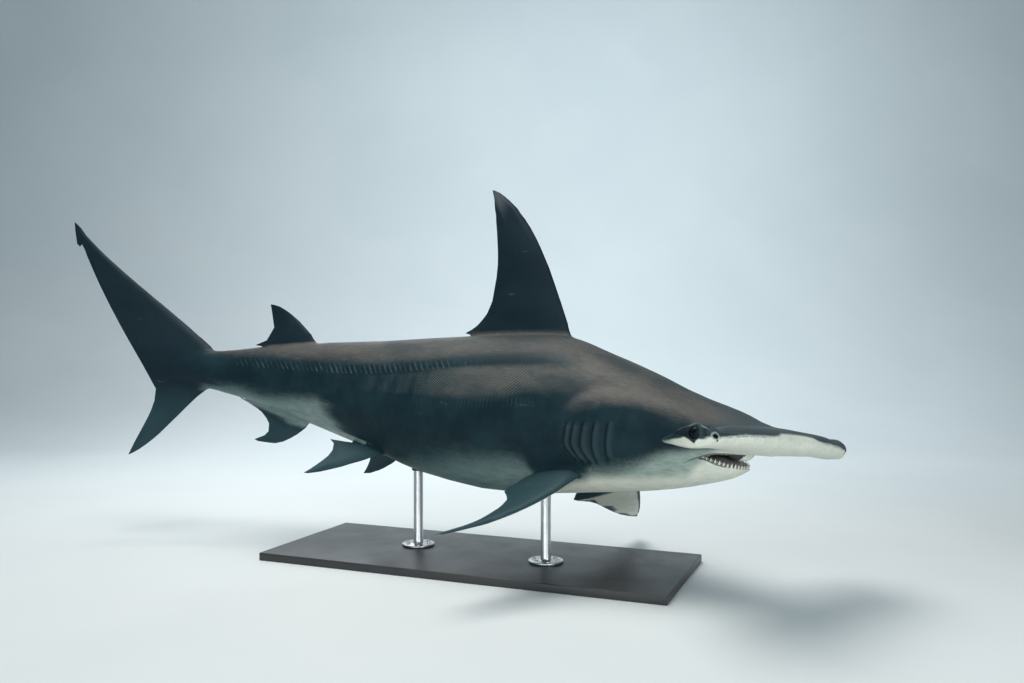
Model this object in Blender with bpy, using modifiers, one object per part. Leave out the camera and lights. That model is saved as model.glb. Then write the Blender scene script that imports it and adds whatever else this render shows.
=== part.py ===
"""A great hammerhead shark, life size, as a still model on a plain display stand.

The shark is drawn straight first: X runs back from the snout, Y to the shark's left and Z up from
the spine line. Every mesh is then bent along one level arc, so that the body curves as it swims.
"""

import math

import bmesh
import bpy
import numpy as np
from mathutils import Vector

# Pose: the spine follows an arc, nose down a little, with the right side lifted.
ARC_RADIUS = 3.70
SNOUT_HEADING = math.radians(27.5)
NOSE_DOWN = math.radians(4.3)
BODY_ROLL = math.radians(4.0)
HEAD_EXTRA_ROLL = math.radians(4.2)
HEAD_ROLL_FADES_AT = 0.75
POSE_REFERENCE = 1.08
SPINE_HEIGHT = 0.60

# Trunk stations: distance from the snout, top, bottom, half width.
TRUNK = (
    (0.110, 0.044, -0.006, 0.020),
    (0.170, 0.058, -0.042, 0.042),
    (0.214, 0.068, -0.076, 0.058),
    (0.245, 0.078, -0.100, 0.082),
    (0.290, 0.090, -0.129, 0.108),
    (0.360, 0.105, -0.157, 0.138),
    (0.480, 0.136, -0.197, 0.171),
    (0.620, 0.178, -0.232, 0.203),
    (0.800, 0.229, -0.268, 0.232),
    (1.020, 0.280, -0.308, 0.248),
    (1.270, 0.262, -0.331, 0.245),
    (1.520, 0.234, -0.314, 0.220),
    (1.800, 0.199, -0.252, 0.168),
    (2.100, 0.167, -0.180, 0.112),
    (2.380, 0.128, -0.112, 0.069),
    (2.600, 0.095, -0.073, 0.045),
    (2.760, 0.090, -0.050, 0.027),
    (2.900, 0.100, 0.010, 0.006),
)
WIDEST_HEIGHT = 0.46
BACK_FULLNESS = 1.95
BELLY_FULLNESS = 2.25
RING_POINTS = 32

# Hammer stations: distance out from the middle, leading edge, trailing edge, and how far its top
# and bottom stand from the hammer's own plane.
HAMMER = (
    (0.000, 0.074, 0.420, 0.050, 0.040),
    (0.070, 0.068, 0.400, 0.046, 0.038),
    (0.150, 0.069, 0.355, 0.042, 0.035),
    (0.250, 0.080, 0.318, 0.038, 0.032),
    (0.330, 0.095, 0.312, 0.033, 0.032),
    (0.375, 0.106, 0.318, 0.034, 0.035),
    (0.400, 0.120, 0.294, 0.038, 0.036),
    (0.416, 0.142, 0.252, 0.029, 0.028),
    (0.424, 0.168, 0.208, 0.008, 0.008),
)
HAMMER_PLANE_FRONT = 0.020
HAMMER_PLANE_SLOPE = -0.17
HAMMER_SECTIONS = 33
HAMMER_CHORD_POINTS = 11
HEAD_VOXEL = 0.010
HEAD_SMOOTHING = 6
HEAD_FACES = 3000

# Where the body is parted, and the gap kept between touching pieces.
HEAD_END = 0.594
TORSO_END = 1.640
TAIL_END = 2.600
GAP = 0.0004
RING_SPACING = 0.048

# Mouth, seen from the side: from the front of the lips back to the corners.
MOUTH_FRONT = 0.150
MOUTH_CORNER = (0.386, -0.097)
UPPER_LIP = ((0.150, -0.036), (0.205, -0.044), (0.250, -0.046), (0.300, -0.053), (0.342, -0.070))
LOWER_LIP = ((0.150, -0.091), (0.248, -0.092), (0.278, -0.087), (0.310, -0.080), (0.342, -0.074))
LIP_GROOVE = 0.0016
MOUTH_HALF_WIDTH = 0.20
PALATE_CENTRE = (0.290, 0.0, -0.076)
PALATE_RADII = (0.085, 0.082, 0.034)
JAW_FRONT = 0.247
JAW_CORNER_BACK = 0.345
JAW_CORNER_OUT = 0.112
LOWER_TEETH = 22
UPPER_TEETH = 20
TOOTH_HEIGHT = 0.017
TOOTH_RADIUS = 0.0045
TOOTH_SIDES = 4

# Eyes and nostrils on the ends of the hammer.
EYE_CENTRE = (0.163, 0.4040, 0.013)
EYE_RADIUS = 0.021
LID_RING_RADIUS = 0.0200
LID_THICKNESS = 0.0065
LID_OUT = 0.0100
NOSTRIL = (0.111, 0.380, 0.010)
NOSTRIL_RADII = (0.020, 0.013, 0.0055)
NOSTRIL_TURN = math.radians(42)

# Gill slits: distance from the snout at half height, height of the top, height of the bottom, and
# how far forward the foot of the slit bends.
GILL_SLITS = (
    (0.647, 0.010, -0.122, 0.004),
    (0.706, 0.004, -0.134, 0.012),
    (0.753, -0.002, -0.146, 0.032),
    (0.795, -0.006, -0.140, 0.040),
    (0.828, -0.010, -0.138, 0.042),
)
GILL_FLAP_RISE = 0.006
GILL_SLIT_DEPTH = 0.011
GILL_FLAP_LAP = 0.007

# Fins in their own planes: u runs back along the base and v out to the tip. Pairs of angles are for
# the left and the right fin.
FIN_ROWS = 12
FIN_CHORD_POINTS = 7
FIN_EDGE = 0.0009
INNER_MARGIN_SHARE = 0.13
FIRST_DORSAL = {
    "origin": (0.975, 0.278),
    "insertion": (1.345, 0.246),
    "rear_tip": (1.457, 0.254),
    "tip": (1.388, 0.833),
    "lead": ((1.060, 0.440), (1.190, 0.765)),
    "trail": ((1.270, 0.330), (1.330, 0.580)),
    "thick": (0.052, 0.007),
    "root": (0.0, -0.085),
}
SECOND_DORSAL = {
    "origin": (2.135, 0.172),
    "insertion": (2.310, 0.136),
    "rear_tip": (2.447, 0.129),
    "tip": (2.370, 0.317),
    "lead": ((2.200, 0.236), (2.300, 0.320)),
    "trail": ((2.290, 0.165), (2.350, 0.235)),
    "thick": (0.024, 0.004),
    "root": (0.0, -0.045),
}
ANAL = {
    "origin": (2.120, -0.172),
    "insertion": (2.340, -0.116),
    "rear_tip": (2.472, -0.102),
    "tip": (2.386, -0.269),
    "lead": ((2.180, -0.240), (2.280, -0.312)),
    "trail": ((2.300, -0.150), (2.270, -0.245)),
    "thick": (0.022, 0.004),
    "root": (0.0, 0.045),
}
CAUDAL_UPPER = {
    "origin": (2.600, 0.090),
    "insertion": (2.790, -0.055),
    "rear_tip": (2.860, -0.095),
    "tip": (3.300, 0.624),
    "lead": ((2.760, 0.220), (3.150, 0.440)),
    "trail": ((2.945, 0.038), (3.165, 0.290)),
    "thick": (0.046, 0.010),
    "root": (-0.010, -0.050),
}
CAUDAL_LOWER = {
    "origin": (2.602, -0.066),
    "insertion": (2.830, -0.030),
    "rear_tip": (2.859, -0.085),
    "tip": (2.957, -0.394),
    "lead": ((2.710, -0.120), (2.790, -0.300)),
    "trail": ((2.850, -0.180), (2.920, -0.290)),
    "thick": (0.034, 0.006),
    "root": (0.010, 0.050),
}
TERMINAL_LOBE = (
    (3.303, 0.618),
    (3.292, 0.573),
    (3.276, 0.512),
    (3.256, 0.511),
    (3.226, 0.520),
    (3.270, 0.598),
)
TERMINAL_LOBE_THICKNESS = 0.003
PECTORAL = {
    "origin": (-0.005, 0.0),
    "insertion": (0.160, 0.0),
    "rear_tip": (0.292, 0.091),
    "tip": (0.200, 0.547),
    "lead": ((0.035, 0.167), (0.111, 0.345)),
    "trail": ((0.173, 0.135), (0.218, 0.337)),
    "thick": (0.046, 0.007),
    "root": (0.0, -0.100),
    "arch": 0.035,
}
PECTORAL_ROOT = (0.765, 0.185, -0.190)
PECTORAL_DROOP = (math.radians(17.7), math.radians(15.3))
PECTORAL_SWEEP = (math.radians(2.1), math.radians(7.3))
PECTORAL_PITCH = (math.radians(26.8), math.radians(15.3))
PELVIC = {
    "origin": (0.0, 0.0),
    "insertion": (0.165, 0.0),
    "rear_tip": (0.272, 0.010),
    "tip": (0.292, 0.200),
    "lead": ((0.090, 0.070), (0.190, 0.170)),
    "trail": ((0.200, 0.018), (0.215, 0.100)),
    "thick": (0.024, 0.004),
    "root": (0.0, -0.055),
    "arch": 0.0,
}
PELVIC_ROOT = (1.695, 0.090, -0.246)
PELVIC_DROOP = (math.radians(60), math.radians(46))
PELVIC_PITCH = math.radians(-11)

# Display stand.
BASE_LENGTH = 1.60
BASE_WIDTH = 0.62
BASE_THICKNESS = 0.030
BASE_BEVEL = 0.004
ROD_RADIUS = 0.019
ROD_SIDES = 28
ROD_STATIONS = {"front": 1.02, "rear": 1.60}
ROD_INTO_BODY = 0.070
FLANGE_RADIUS = 0.065
FLANGE_THICKNESS = 0.010
CUT_SIZE = 4.0

COLOURS = {
    "skin_back": (0.115, 0.110, 0.100),
    "skin_fin": (0.060, 0.075, 0.085),
    "eye": (0.010, 0.012, 0.014),
    "stand": (0.055, 0.057, 0.060),
    "steel": (0.560, 0.570, 0.580),
}


def clear_scene():
    """Removes whatever the scene holds, so the model starts empty."""
    for thing in list(bpy.data.objects):
        bpy.data.objects.remove(thing, do_unlink=True)


def make_collection(name):
    """A collection linked to the scene."""
    collection = bpy.data.collections.new(name)
    bpy.context.scene.collection.children.link(collection)
    return collection


def make_material(name, colour, roughness, metallic=0.0):
    """A Principled material of one colour."""
    material = bpy.data.materials.new(name)
    material.use_nodes = True
    shader = material.node_tree.nodes["Principled BSDF"]
    shader.inputs["Base Color"].default_value = (*colour, 1.0)
    shader.inputs["Roughness"].default_value = roughness
    shader.inputs["Metallic"].default_value = metallic
    return material


def smooth_through(points, x):
    """A smooth curve without overshoot through (x, value) points, read at x."""
    xs, ys = (np.array(column, float) for column in zip(*points))
    x = np.clip(np.asarray(x, float), xs[0], xs[-1])
    step = np.diff(xs)
    slope = np.diff(ys) / step
    tangent = np.zeros_like(ys)
    tangent[0], tangent[-1] = slope[0], slope[-1]
    same_way = slope[:-1] * slope[1:] > 0
    first_weight = 2 * step[1:] + step[:-1]
    second_weight = step[1:] + 2 * step[:-1]
    blended = np.divide(
        first_weight + second_weight,
        first_weight / np.where(same_way, slope[:-1], 1) + second_weight / np.where(same_way, slope[1:], 1),
    )
    tangent[1:-1] = np.where(same_way, blended, 0.0)
    k = np.clip(np.searchsorted(xs, x, side="right") - 1, 0, len(step) - 1)
    t = (x - xs[k]) / step[k]
    return (
        (1 + 2 * t) * (1 - t) ** 2 * ys[k]
        + t * (1 - t) ** 2 * step[k] * tangent[k]
        + t * t * (3 - 2 * t) * ys[k + 1]
        + t * t * (t - 1) * step[k] * tangent[k + 1]
    )


def column_of(stations, column, x):
    """One column of a station table, read smoothly at x."""
    return smooth_through([(row[0], row[column]) for row in stations], x)


def ease(t):
    """0 to 1 with a soft start and end."""
    t = np.clip(t, 0.0, 1.0)
    return t * t * (3 - 2 * t)


def bezier(start, control, end, t):
    """A cubic Bezier curve with two control points, read at the values t."""
    t = np.asarray(t, float)[:, None]
    first, second = (np.array(point, float) for point in control)
    return (
        (1 - t) ** 3 * np.array(start)
        + 3 * t * (1 - t) ** 2 * first
        + 3 * t * t * (1 - t) * second
        + t**3 * np.array(end)
    )


def bend(points):
    """Straight-body points, N by 3, placed on the swimming arc."""
    points = np.asarray(points, float)
    back, left, up = points[:, 0], points[:, 1], points[:, 2]
    heading = SNOUT_HEADING - back / ARC_RADIUS
    start = SNOUT_HEADING - POSE_REFERENCE / ARC_RADIUS
    spine = np.stack(
        [
            ARC_RADIUS * (np.sin(heading) - np.sin(start)) * math.cos(NOSE_DOWN),
            ARC_RADIUS * (np.cos(heading) - np.cos(start)) * math.cos(NOSE_DOWN),
            (back - POSE_REFERENCE) * math.sin(NOSE_DOWN) + SPINE_HEIGHT,
        ],
        axis=1,
    )
    forward = np.stack(
        [
            np.cos(heading) * math.cos(NOSE_DOWN),
            -np.sin(heading) * math.cos(NOSE_DOWN),
            np.full_like(heading, -math.sin(NOSE_DOWN)),
        ],
        axis=1,
    )
    level_left = np.stack([np.sin(heading), np.cos(heading), np.zeros_like(heading)], axis=1)
    level_up = np.cross(forward, level_left)
    roll = (BODY_ROLL + HEAD_EXTRA_ROLL * ease(1 - back / HEAD_ROLL_FADES_AT))[:, None]
    side = level_left * np.cos(roll) - level_up * np.sin(roll)
    top = level_up * np.cos(roll) + level_left * np.sin(roll)
    return spine + side * left[:, None] + top * up[:, None]


def mesh_object(name, points, faces, collection, material=None):
    """A mesh object from points and faces, with its normals pointing out."""
    mesh = bpy.data.meshes.new(name)
    mesh.from_pydata([tuple(p) for p in points], [], [tuple(f) for f in faces])
    work = bmesh.new()
    work.from_mesh(mesh)
    bmesh.ops.recalc_face_normals(work, faces=work.faces)
    if work.calc_volume(signed=True) < 0:
        bmesh.ops.reverse_faces(work, faces=work.faces)
    work.to_mesh(mesh)
    work.free()
    thing = bpy.data.objects.new(name, mesh)
    collection.objects.link(thing)
    if material:
        mesh.materials.append(material)
    return thing


def loft(rings, cap_start=True, cap_end=True):
    """Points and faces of a closed skin through rings of equal counts."""
    count = len(rings[0])
    points = np.concatenate(rings)
    faces = []
    for r in range(len(rings) - 1):
        for k in range(count):
            a, b = r * count + k, r * count + (k + 1) % count
            faces.append((a, b, b + count, a + count))
    if cap_start:
        faces.append(tuple(range(count)))
    if cap_end:
        faces.append(tuple(range(len(points) - count, len(points))))
    return points, faces


def finished_mesh(thing):
    """Applies a thing's modifiers."""
    graph = bpy.context.evaluated_depsgraph_get()
    graph.update()
    made = bpy.data.meshes.new_from_object(thing.evaluated_get(graph), depsgraph=graph)
    old = thing.data
    thing.modifiers.clear()
    thing.data = made
    bpy.data.meshes.remove(old)
    return thing


def join_pieces(thing, pieces, solver="EXACT"):
    """Fuses a list of closed pieces into a thing and removes them."""
    group = bpy.data.collections.new(thing.name + "_pieces")
    bpy.context.scene.collection.children.link(group)
    for piece in pieces:
        for owner in list(piece.users_collection):
            owner.objects.unlink(piece)
        group.objects.link(piece)
    union = thing.modifiers.new("join", "BOOLEAN")
    union.operation = "UNION"
    union.solver = solver
    union.operand_type = "COLLECTION"
    union.collection = group
    finished_mesh(thing)
    for piece in pieces:
        bpy.data.objects.remove(piece, do_unlink=True)
    bpy.data.collections.remove(group)
    return thing


def cut_away(thing, cutter, solver="EXACT"):
    """Cuts a closed cutter out of a thing and removes the cutter."""
    cut = thing.modifiers.new("cut", "BOOLEAN")
    cut.operation = "DIFFERENCE"
    cut.solver = solver
    cut.object = cutter
    finished_mesh(thing)
    bpy.data.objects.remove(cutter, do_unlink=True)
    return thing


def keep_largest(thing):
    """Keeps only the largest closed surface."""
    work = bmesh.new()
    work.from_mesh(thing.data)
    seen, shells = set(), []
    for face in work.faces:
        if face in seen:
            continue
        shell, waiting = [], [face]
        seen.add(face)
        while waiting:
            here = waiting.pop()
            shell.append(here)
            for edge in here.edges:
                for other in edge.link_faces:
                    if other not in seen:
                        seen.add(other)
                        waiting.append(other)
        shells.append(shell)
    largest = max(shells, key=lambda shell: sum(face.calc_area() for face in shell))
    loose = [face for shell in shells if shell is not largest for face in shell]
    if loose:
        bmesh.ops.delete(work, geom=loose, context="FACES")
    work.to_mesh(thing.data)
    work.free()
    return thing


def move_points(thing, change):
    """Replaces a thing's points by change(points)."""
    mesh = thing.data
    places = np.empty(len(mesh.vertices) * 3, np.float32)
    mesh.vertices.foreach_get("co", places)
    moved = change(places.reshape(-1, 3).astype(float))
    mesh.vertices.foreach_set("co", moved.astype(np.float32).ravel())
    mesh.update()
    return thing


def bend_thing(thing):
    """Bends a straight thing. Back, left and up are a left-handed set, so its faces are turned."""
    move_points(thing, bend)
    thing.data.flip_normals()
    return thing


def swollen_copy(thing, collection, distance):
    """A copy of a thing with every point moved out along its normal."""
    copy = thing.copy()
    copy.data = thing.data.copy()
    collection.objects.link(copy)
    normals = np.empty(len(copy.data.vertices) * 3, np.float32)
    copy.data.vertices.foreach_get("normal", normals)
    outward = normals.reshape(-1, 3)
    move_points(copy, lambda places: places + outward * distance)
    return copy


def section_ring(x, count=RING_POINTS):
    """The trunk's outline at x: points across and up, starting at the left side."""
    angle = np.linspace(0, 2 * math.pi, count, endpoint=False)
    top, bottom, half = (column_of(TRUNK, column, x) for column in (1, 2, 3))
    middle = bottom + WIDEST_HEIGHT * (top - bottom)
    c, s = np.cos(angle), np.sin(angle)
    power = 2 / np.where(s >= 0, BACK_FULLNESS, BELLY_FULLNESS)
    across = half * np.sign(c) * np.abs(c) ** power
    reach = np.where(s >= 0, top - middle, middle - bottom)
    up = middle + reach * np.sign(s) * np.abs(s) ** power
    return across, up, middle


def plain_ring(x):
    """A flat ring of the trunk at x."""
    across, up, _ = section_ring(x)
    return np.stack([np.full_like(across, x), across, up], axis=1)


def gill_line(slit, up):
    """Distance from the snout along a slit, and how open the slit is, at the heights up."""
    middle, top, bottom, foot = slit
    share = (up - bottom) / (top - bottom)
    x = middle - foot * ease(1 - 2 * share) - 0.25 * foot * ease(2 * share - 1)
    openness = ease(share * 6) * ease((1 - share) * 6)
    return x, np.where((share > 0) & (share < 1), openness, 0.0)


def gill_rings():
    """Rings that step in and out at each gill slit, so that each flap laps over its slit."""
    rings = []
    for slit in GILL_SLITS:
        _, up, _ = section_ring(slit[0])
        x, openness = gill_line(slit, up)
        for ahead, rise, lap in (
            (-0.018, 0.35 * GILL_FLAP_RISE, 0.0),
            (0.0, GILL_FLAP_RISE, 0.0),
            (0.003, -GILL_SLIT_DEPTH, GILL_FLAP_LAP),
            (0.013, 0.0, 0.0),
        ):
            place = x + ahead - lap * openness
            ring = []
            for k, back in enumerate(place):
                across, height, middle = section_ring(back)
                point = np.array([back, across[k], height[k]])
                outward = np.array([0.0, across[k], height[k] - middle])
                outward /= np.linalg.norm(outward)
                ring.append(point + outward * rise * openness[k])
            rings.append(np.array(ring))
    return rings


def trunk_piece(name, start, end, collection, material, gills=False):
    """One length of the trunk between two flat cuts."""
    places = np.linspace(start, end, max(2, round((end - start) / RING_SPACING) + 1))
    if gills:
        first, last = GILL_SLITS[0][0] - 0.035, GILL_SLITS[-1][0] + 0.035
        before = np.linspace(start, first, 2)
        after = np.linspace(last, end, round((end - last) / RING_SPACING) + 1)
        rings = [plain_ring(x) for x in before] + gill_rings() + [plain_ring(x) for x in after]
    else:
        rings = [plain_ring(x) for x in places]
    return mesh_object(name, *loft(rings), collection, material)


def foil(share):
    """Half thickness of a rounded-front, thin-backed section, 1 at its thickest."""
    return (
        0.2969 * np.sqrt(share) - 0.1260 * share - 0.3516 * share**2 + 0.2843 * share**3 - 0.1015 * share**4
    ) / 0.05 * 0.5


def hammer_piece(collection):
    """The hammer: foil sections from the right end to the left end."""
    reach = HAMMER[-1][0]
    turn = np.linspace(-math.pi / 2, math.pi / 2, HAMMER_SECTIONS)
    share = (1 - np.cos(np.linspace(0, math.pi, HAMMER_CHORD_POINTS))) / 2
    rings = []
    for out in reach * np.sin(turn):
        lead, trail, above, below = (column_of(HAMMER, column, abs(out)) for column in (1, 2, 3, 4))
        back = lead + (trail - lead) * share
        plane = HAMMER_PLANE_FRONT + HAMMER_PLANE_SLOPE * (back - HAMMER[0][1])
        half = np.maximum(foil(share), 0.02)
        upper = np.stack([back, np.full_like(back, out), plane + above * half], axis=1)
        lower = np.stack([back, np.full_like(back, out), plane - below * half], axis=1)
        rings.append(np.concatenate([upper, lower[::-1]]))
    return mesh_object("hammer", *loft(rings), collection)


def lip_lens(collection):
    """The space between the lips: a lens seen from the side, drawn out across the head."""
    x = np.linspace(MOUTH_FRONT, MOUTH_CORNER[0], 11)
    upper = smooth_through((*UPPER_LIP, MOUTH_CORNER), x)
    lower = smooth_through((*LOWER_LIP, MOUTH_CORNER), x)
    upper = np.maximum(upper, lower + LIP_GROOVE)
    outline = [(a, b) for a, b in zip(x, upper)] + [(a, b) for a, b in zip(x[::-1], lower[::-1])]
    rings = [np.array([(a, side * MOUTH_HALF_WIDTH, b) for a, b in outline]) for side in (-1, 1)]
    return mesh_object("lip_lens", *loft(rings), collection)


def ball(name, centre, radii, collection, material=None, segments=20, rings=12, turn=0.0):
    """An ellipsoid with its three radii along X, Y and Z, turned about Z."""
    mesh = bpy.data.meshes.new(name)
    work = bmesh.new()
    bmesh.ops.create_uvsphere(work, u_segments=segments, v_segments=rings, radius=1.0)
    bmesh.ops.scale(work, vec=Vector(radii), verts=work.verts)
    for vertex in work.verts:
        x, y, z = vertex.co
        vertex.co = (
            centre[0] + x * math.cos(turn) - y * math.sin(turn),
            centre[1] + x * math.sin(turn) + y * math.cos(turn),
            centre[2] + z,
        )
    work.to_mesh(mesh)
    work.free()
    thing = bpy.data.objects.new(name, mesh)
    collection.objects.link(thing)
    if material:
        mesh.materials.append(material)
    return thing


def lid_ring(side, collection):
    """The rim of skin round one eye, a ring facing out to the side."""
    bpy.ops.mesh.primitive_torus_add(
        major_segments=18,
        minor_segments=6,
        major_radius=LID_RING_RADIUS,
        minor_radius=LID_THICKNESS,
        location=(EYE_CENTRE[0], side * (EYE_CENTRE[1] + LID_OUT), EYE_CENTRE[2]),
        rotation=(math.pi / 2, 0.0, 0.0),
    )
    ring = bpy.context.object
    ring.data.transform(ring.matrix_world)
    ring.matrix_world.identity()
    for owner in list(ring.users_collection):
        owner.objects.unlink(ring)
    collection.objects.link(ring)
    return ring


def tooth(name, foot, lean, height, radius, collection):
    """One tooth: a slim cone from below its foot to its point."""
    direction = Vector(lean).normalized()
    bpy.ops.mesh.primitive_cone_add(
        vertices=TOOTH_SIDES,
        radius1=radius,
        radius2=radius * 0.12,
        depth=height,
        location=Vector(foot) + direction * height * 0.22,
        rotation=direction.to_track_quat("Z", "Y").to_euler(),
    )
    cone = bpy.context.object
    cone.name = name
    cone.data.transform(cone.matrix_world)
    cone.matrix_world.identity()
    for owner in list(cone.users_collection):
        owner.objects.unlink(cone)
    collection.objects.link(cone)
    return cone


def jaw_arch(share):
    """A place on the tooth line, share from -1 at the right corner to 1 at the left corner."""
    out = JAW_CORNER_OUT * math.sin(share * math.pi / 2)
    back = JAW_FRONT + (JAW_CORNER_BACK - JAW_FRONT) * (1 - math.cos(share * math.pi / 2))
    return back, out


def teeth(collection):
    """Both rows of teeth, each tooth a little unlike the next."""
    chance = np.random.default_rng(7)
    made = []
    for row, count in (("lower", LOWER_TEETH), ("upper", UPPER_TEETH)):
        for k in range(count):
            share = -0.94 + 1.88 * (k + 0.5) / count
            back, out = jaw_arch(share)
            size = 1 - 0.45 * abs(share) + 0.12 * chance.uniform(-1, 1)
            tilt = 0.25 * chance.uniform(-1, 1)
            if row == "lower":
                foot = (back + 0.004, out * 0.97, smooth_through((*LOWER_LIP, MOUTH_CORNER), back) + 0.001)
                lean = (-0.35 + tilt, 0.25 * share, 1.0)
                height = TOOTH_HEIGHT * size
            else:
                foot = (back + 0.006, out * 0.90, smooth_through((*UPPER_LIP, MOUTH_CORNER), back) - 0.001)
                lean = (0.15 + tilt, -0.1 * share, -1.0)
                height = 0.7 * TOOTH_HEIGHT * size
            made.append(tooth(f"{row}_tooth_{k}", foot, lean, height, TOOTH_RADIUS * size, collection))
    return made


def head_piece(collection, scratch, material):
    """The head: trunk front and hammer fused and softened, with its mouth, eyes and nostrils."""
    stations = [row[0] for row in TRUNK if row[0] < 0.30]
    places = stations + list(np.linspace(0.32, HEAD_END + 0.09, 10))
    head = mesh_object("head", *loft([plain_ring(x) for x in places]), collection, material)
    join_pieces(head, [hammer_piece(scratch)])
    remesh = head.modifiers.new("even", "REMESH")
    remesh.mode = "VOXEL"
    remesh.voxel_size = HEAD_VOXEL
    soften = head.modifiers.new("soften", "SMOOTH")
    soften.factor = 0.5
    soften.iterations = HEAD_SMOOTHING
    finished_mesh(head)
    thin = head.modifiers.new("thin", "DECIMATE")
    thin.ratio = HEAD_FACES / (2 * len(head.data.polygons))
    finished_mesh(head)

    for side in (-1, 1):
        centre = (EYE_CENTRE[0], side * EYE_CENTRE[1], EYE_CENTRE[2])
        nostril = (NOSTRIL[0], side * NOSTRIL[1], NOSTRIL[2])
        join_pieces(head, [lid_ring(side, scratch)])
        socket = ball("socket", centre, (EYE_RADIUS + GAP,) * 3, scratch)
        cut_away(head, socket)
        slit = ball("nostril", nostril, NOSTRIL_RADII, scratch, None, 10, 6, side * NOSTRIL_TURN)
        cut_away(head, slit)
    cut_away(head, lip_lens(scratch))
    cut_away(head, ball("palate", PALATE_CENTRE, PALATE_RADII, scratch, None, 16, 8))
    join_pieces(head, teeth(scratch), "MANIFOLD")
    neck = box_piece("neck_cut", (HEAD_END - GAP / 2 + CUT_SIZE / 2, 0, 0), (CUT_SIZE,) * 3, scratch)
    cut_away(head, neck)
    return keep_largest(head)


def box_piece(name, centre, size, collection, material=None):
    """A plain box."""
    bpy.ops.mesh.primitive_cube_add(size=1.0, location=centre)
    box = bpy.context.object
    box.name = name
    box.scale = size
    bpy.context.view_layer.update()
    box.data.transform(box.matrix_world)
    box.matrix_world.identity()
    for owner in list(box.users_collection):
        owner.objects.unlink(box)
    collection.objects.link(box)
    if material:
        box.data.materials.append(material)
    return box


def fin_sections(shape, rows=FIN_ROWS, chord_points=FIN_CHORD_POINTS):
    """Rings of a fin in its own plane, as (u, v, thickness) points, from the buried root to the tip."""
    along = np.concatenate([[0.0], np.linspace(0, 1, rows) ** 0.9])
    lead = bezier(shape["origin"], shape["lead"], shape["tip"], along)
    trail_start = np.array(shape["insertion"])
    rear_tip = np.array(shape["rear_tip"])
    outer = np.clip((along - INNER_MARGIN_SHARE) / (1 - INNER_MARGIN_SHARE), 0, 1)
    trail = bezier(rear_tip, shape["trail"], shape["tip"], outer)
    inner = np.clip(along / INNER_MARGIN_SHARE, 0, 1)[:, None]
    on_inner = along < INNER_MARGIN_SHARE
    trail[on_inner] = (trail_start + (rear_tip - trail_start) * inner)[on_inner]
    lead[0] = np.array(shape["origin"]) + np.array(shape["root"])
    trail[0] = trail_start + np.array(shape["root"])
    share = (1 - np.cos(np.linspace(0, math.pi, chord_points))) / 2
    root_thick, tip_thick = shape["thick"]
    rings = []
    for k, t in enumerate(along):
        thick = root_thick + (tip_thick - root_thick) * t**0.8
        span = np.linalg.norm(trail[k] - lead[k])
        thick = min(thick, 0.30 * span + 0.002)
        half = np.maximum(thick / 2 * foil(share), FIN_EDGE * np.clip(share * 6, 0.3, 1))
        chord = lead[k] + (trail[k] - lead[k]) * share[:, None]
        if k == len(along) - 1:
            spread = (share - 0.5)[:, None] * 0.010
            chord = np.array(shape["tip"]) + np.array([[1.0, 0.0]]) * spread
        upper = np.concatenate([chord, half[:, None]], axis=1)
        lower = np.concatenate([chord, -half[:, None]], axis=1)
        rings.append(np.concatenate([upper, lower[::-1]]))
    return rings


def split_quads(faces, count):
    """Each wall face split into triangles, so that both sides of a thin fin split alike."""
    made = []
    for face in faces:
        if len(face) != 4:
            made.append(face)
            continue
        a, b, c, d = face
        on_upper = (a % count) < count // 2
        made += [(a, b, c), (a, c, d)] if on_upper else [(b, c, d), (b, d, a)]
    return made


def midline_fin(name, shape, collection, material, shift=0.0):
    """A fin that stands in the middle plane."""
    rings = [np.stack([r[:, 0], r[:, 2] + shift, r[:, 1]], axis=1) for r in fin_sections(shape)]
    points, faces = loft(rings)
    return mesh_object(name, points, split_quads(faces, len(rings[0])), collection, material)


def paired_fin(name, shape, root, side, droop, root_pitch, pitch, sweep, collection, material):
    """A fin on one side, drooping outward in a slight arch, its rear edge pitched down or up."""
    rings = []
    for ring in fin_sections(shape):
        u, v, w = ring[:, 0], ring[:, 1], ring[:, 2]
        turned_u = u * math.cos(sweep) + v * math.sin(sweep) * (v > 0)
        turned_v = np.where(v > 0, v * math.cos(sweep) - u * math.sin(sweep) * ease(v / 0.2), v)
        angle = root_pitch + (pitch - root_pitch) * ease((turned_v + 0.02) / 0.12)
        sink = np.sin(angle)
        back = turned_u * np.cos(angle) + w * sink
        out = turned_v * math.cos(droop) + (turned_u * sink - w * np.cos(angle)) * -math.sin(droop)
        up = -turned_v * math.sin(droop) - (turned_u * sink - w * np.cos(angle)) * math.cos(droop)
        up -= shape["arch"] * np.sin(math.pi * np.clip(v / shape["tip"][1], 0, 1))
        rings.append(np.stack([root[0] + back, side * (root[1] + out), root[2] + up], axis=1))
    points, faces = loft(rings)
    return mesh_object(name, points, split_quads(faces, len(rings[0])), collection, material)


def terminal_lobe(collection):
    """The small lobe behind the tip of the upper tail lobe, which leaves a notch below it."""
    half = TERMINAL_LOBE_THICKNESS / 2
    rings = [np.array([(x, side * half, z) for x, z in TERMINAL_LOBE]) for side in (-1, 1)]
    return mesh_object("terminal_lobe", *loft(rings), collection)


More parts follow.
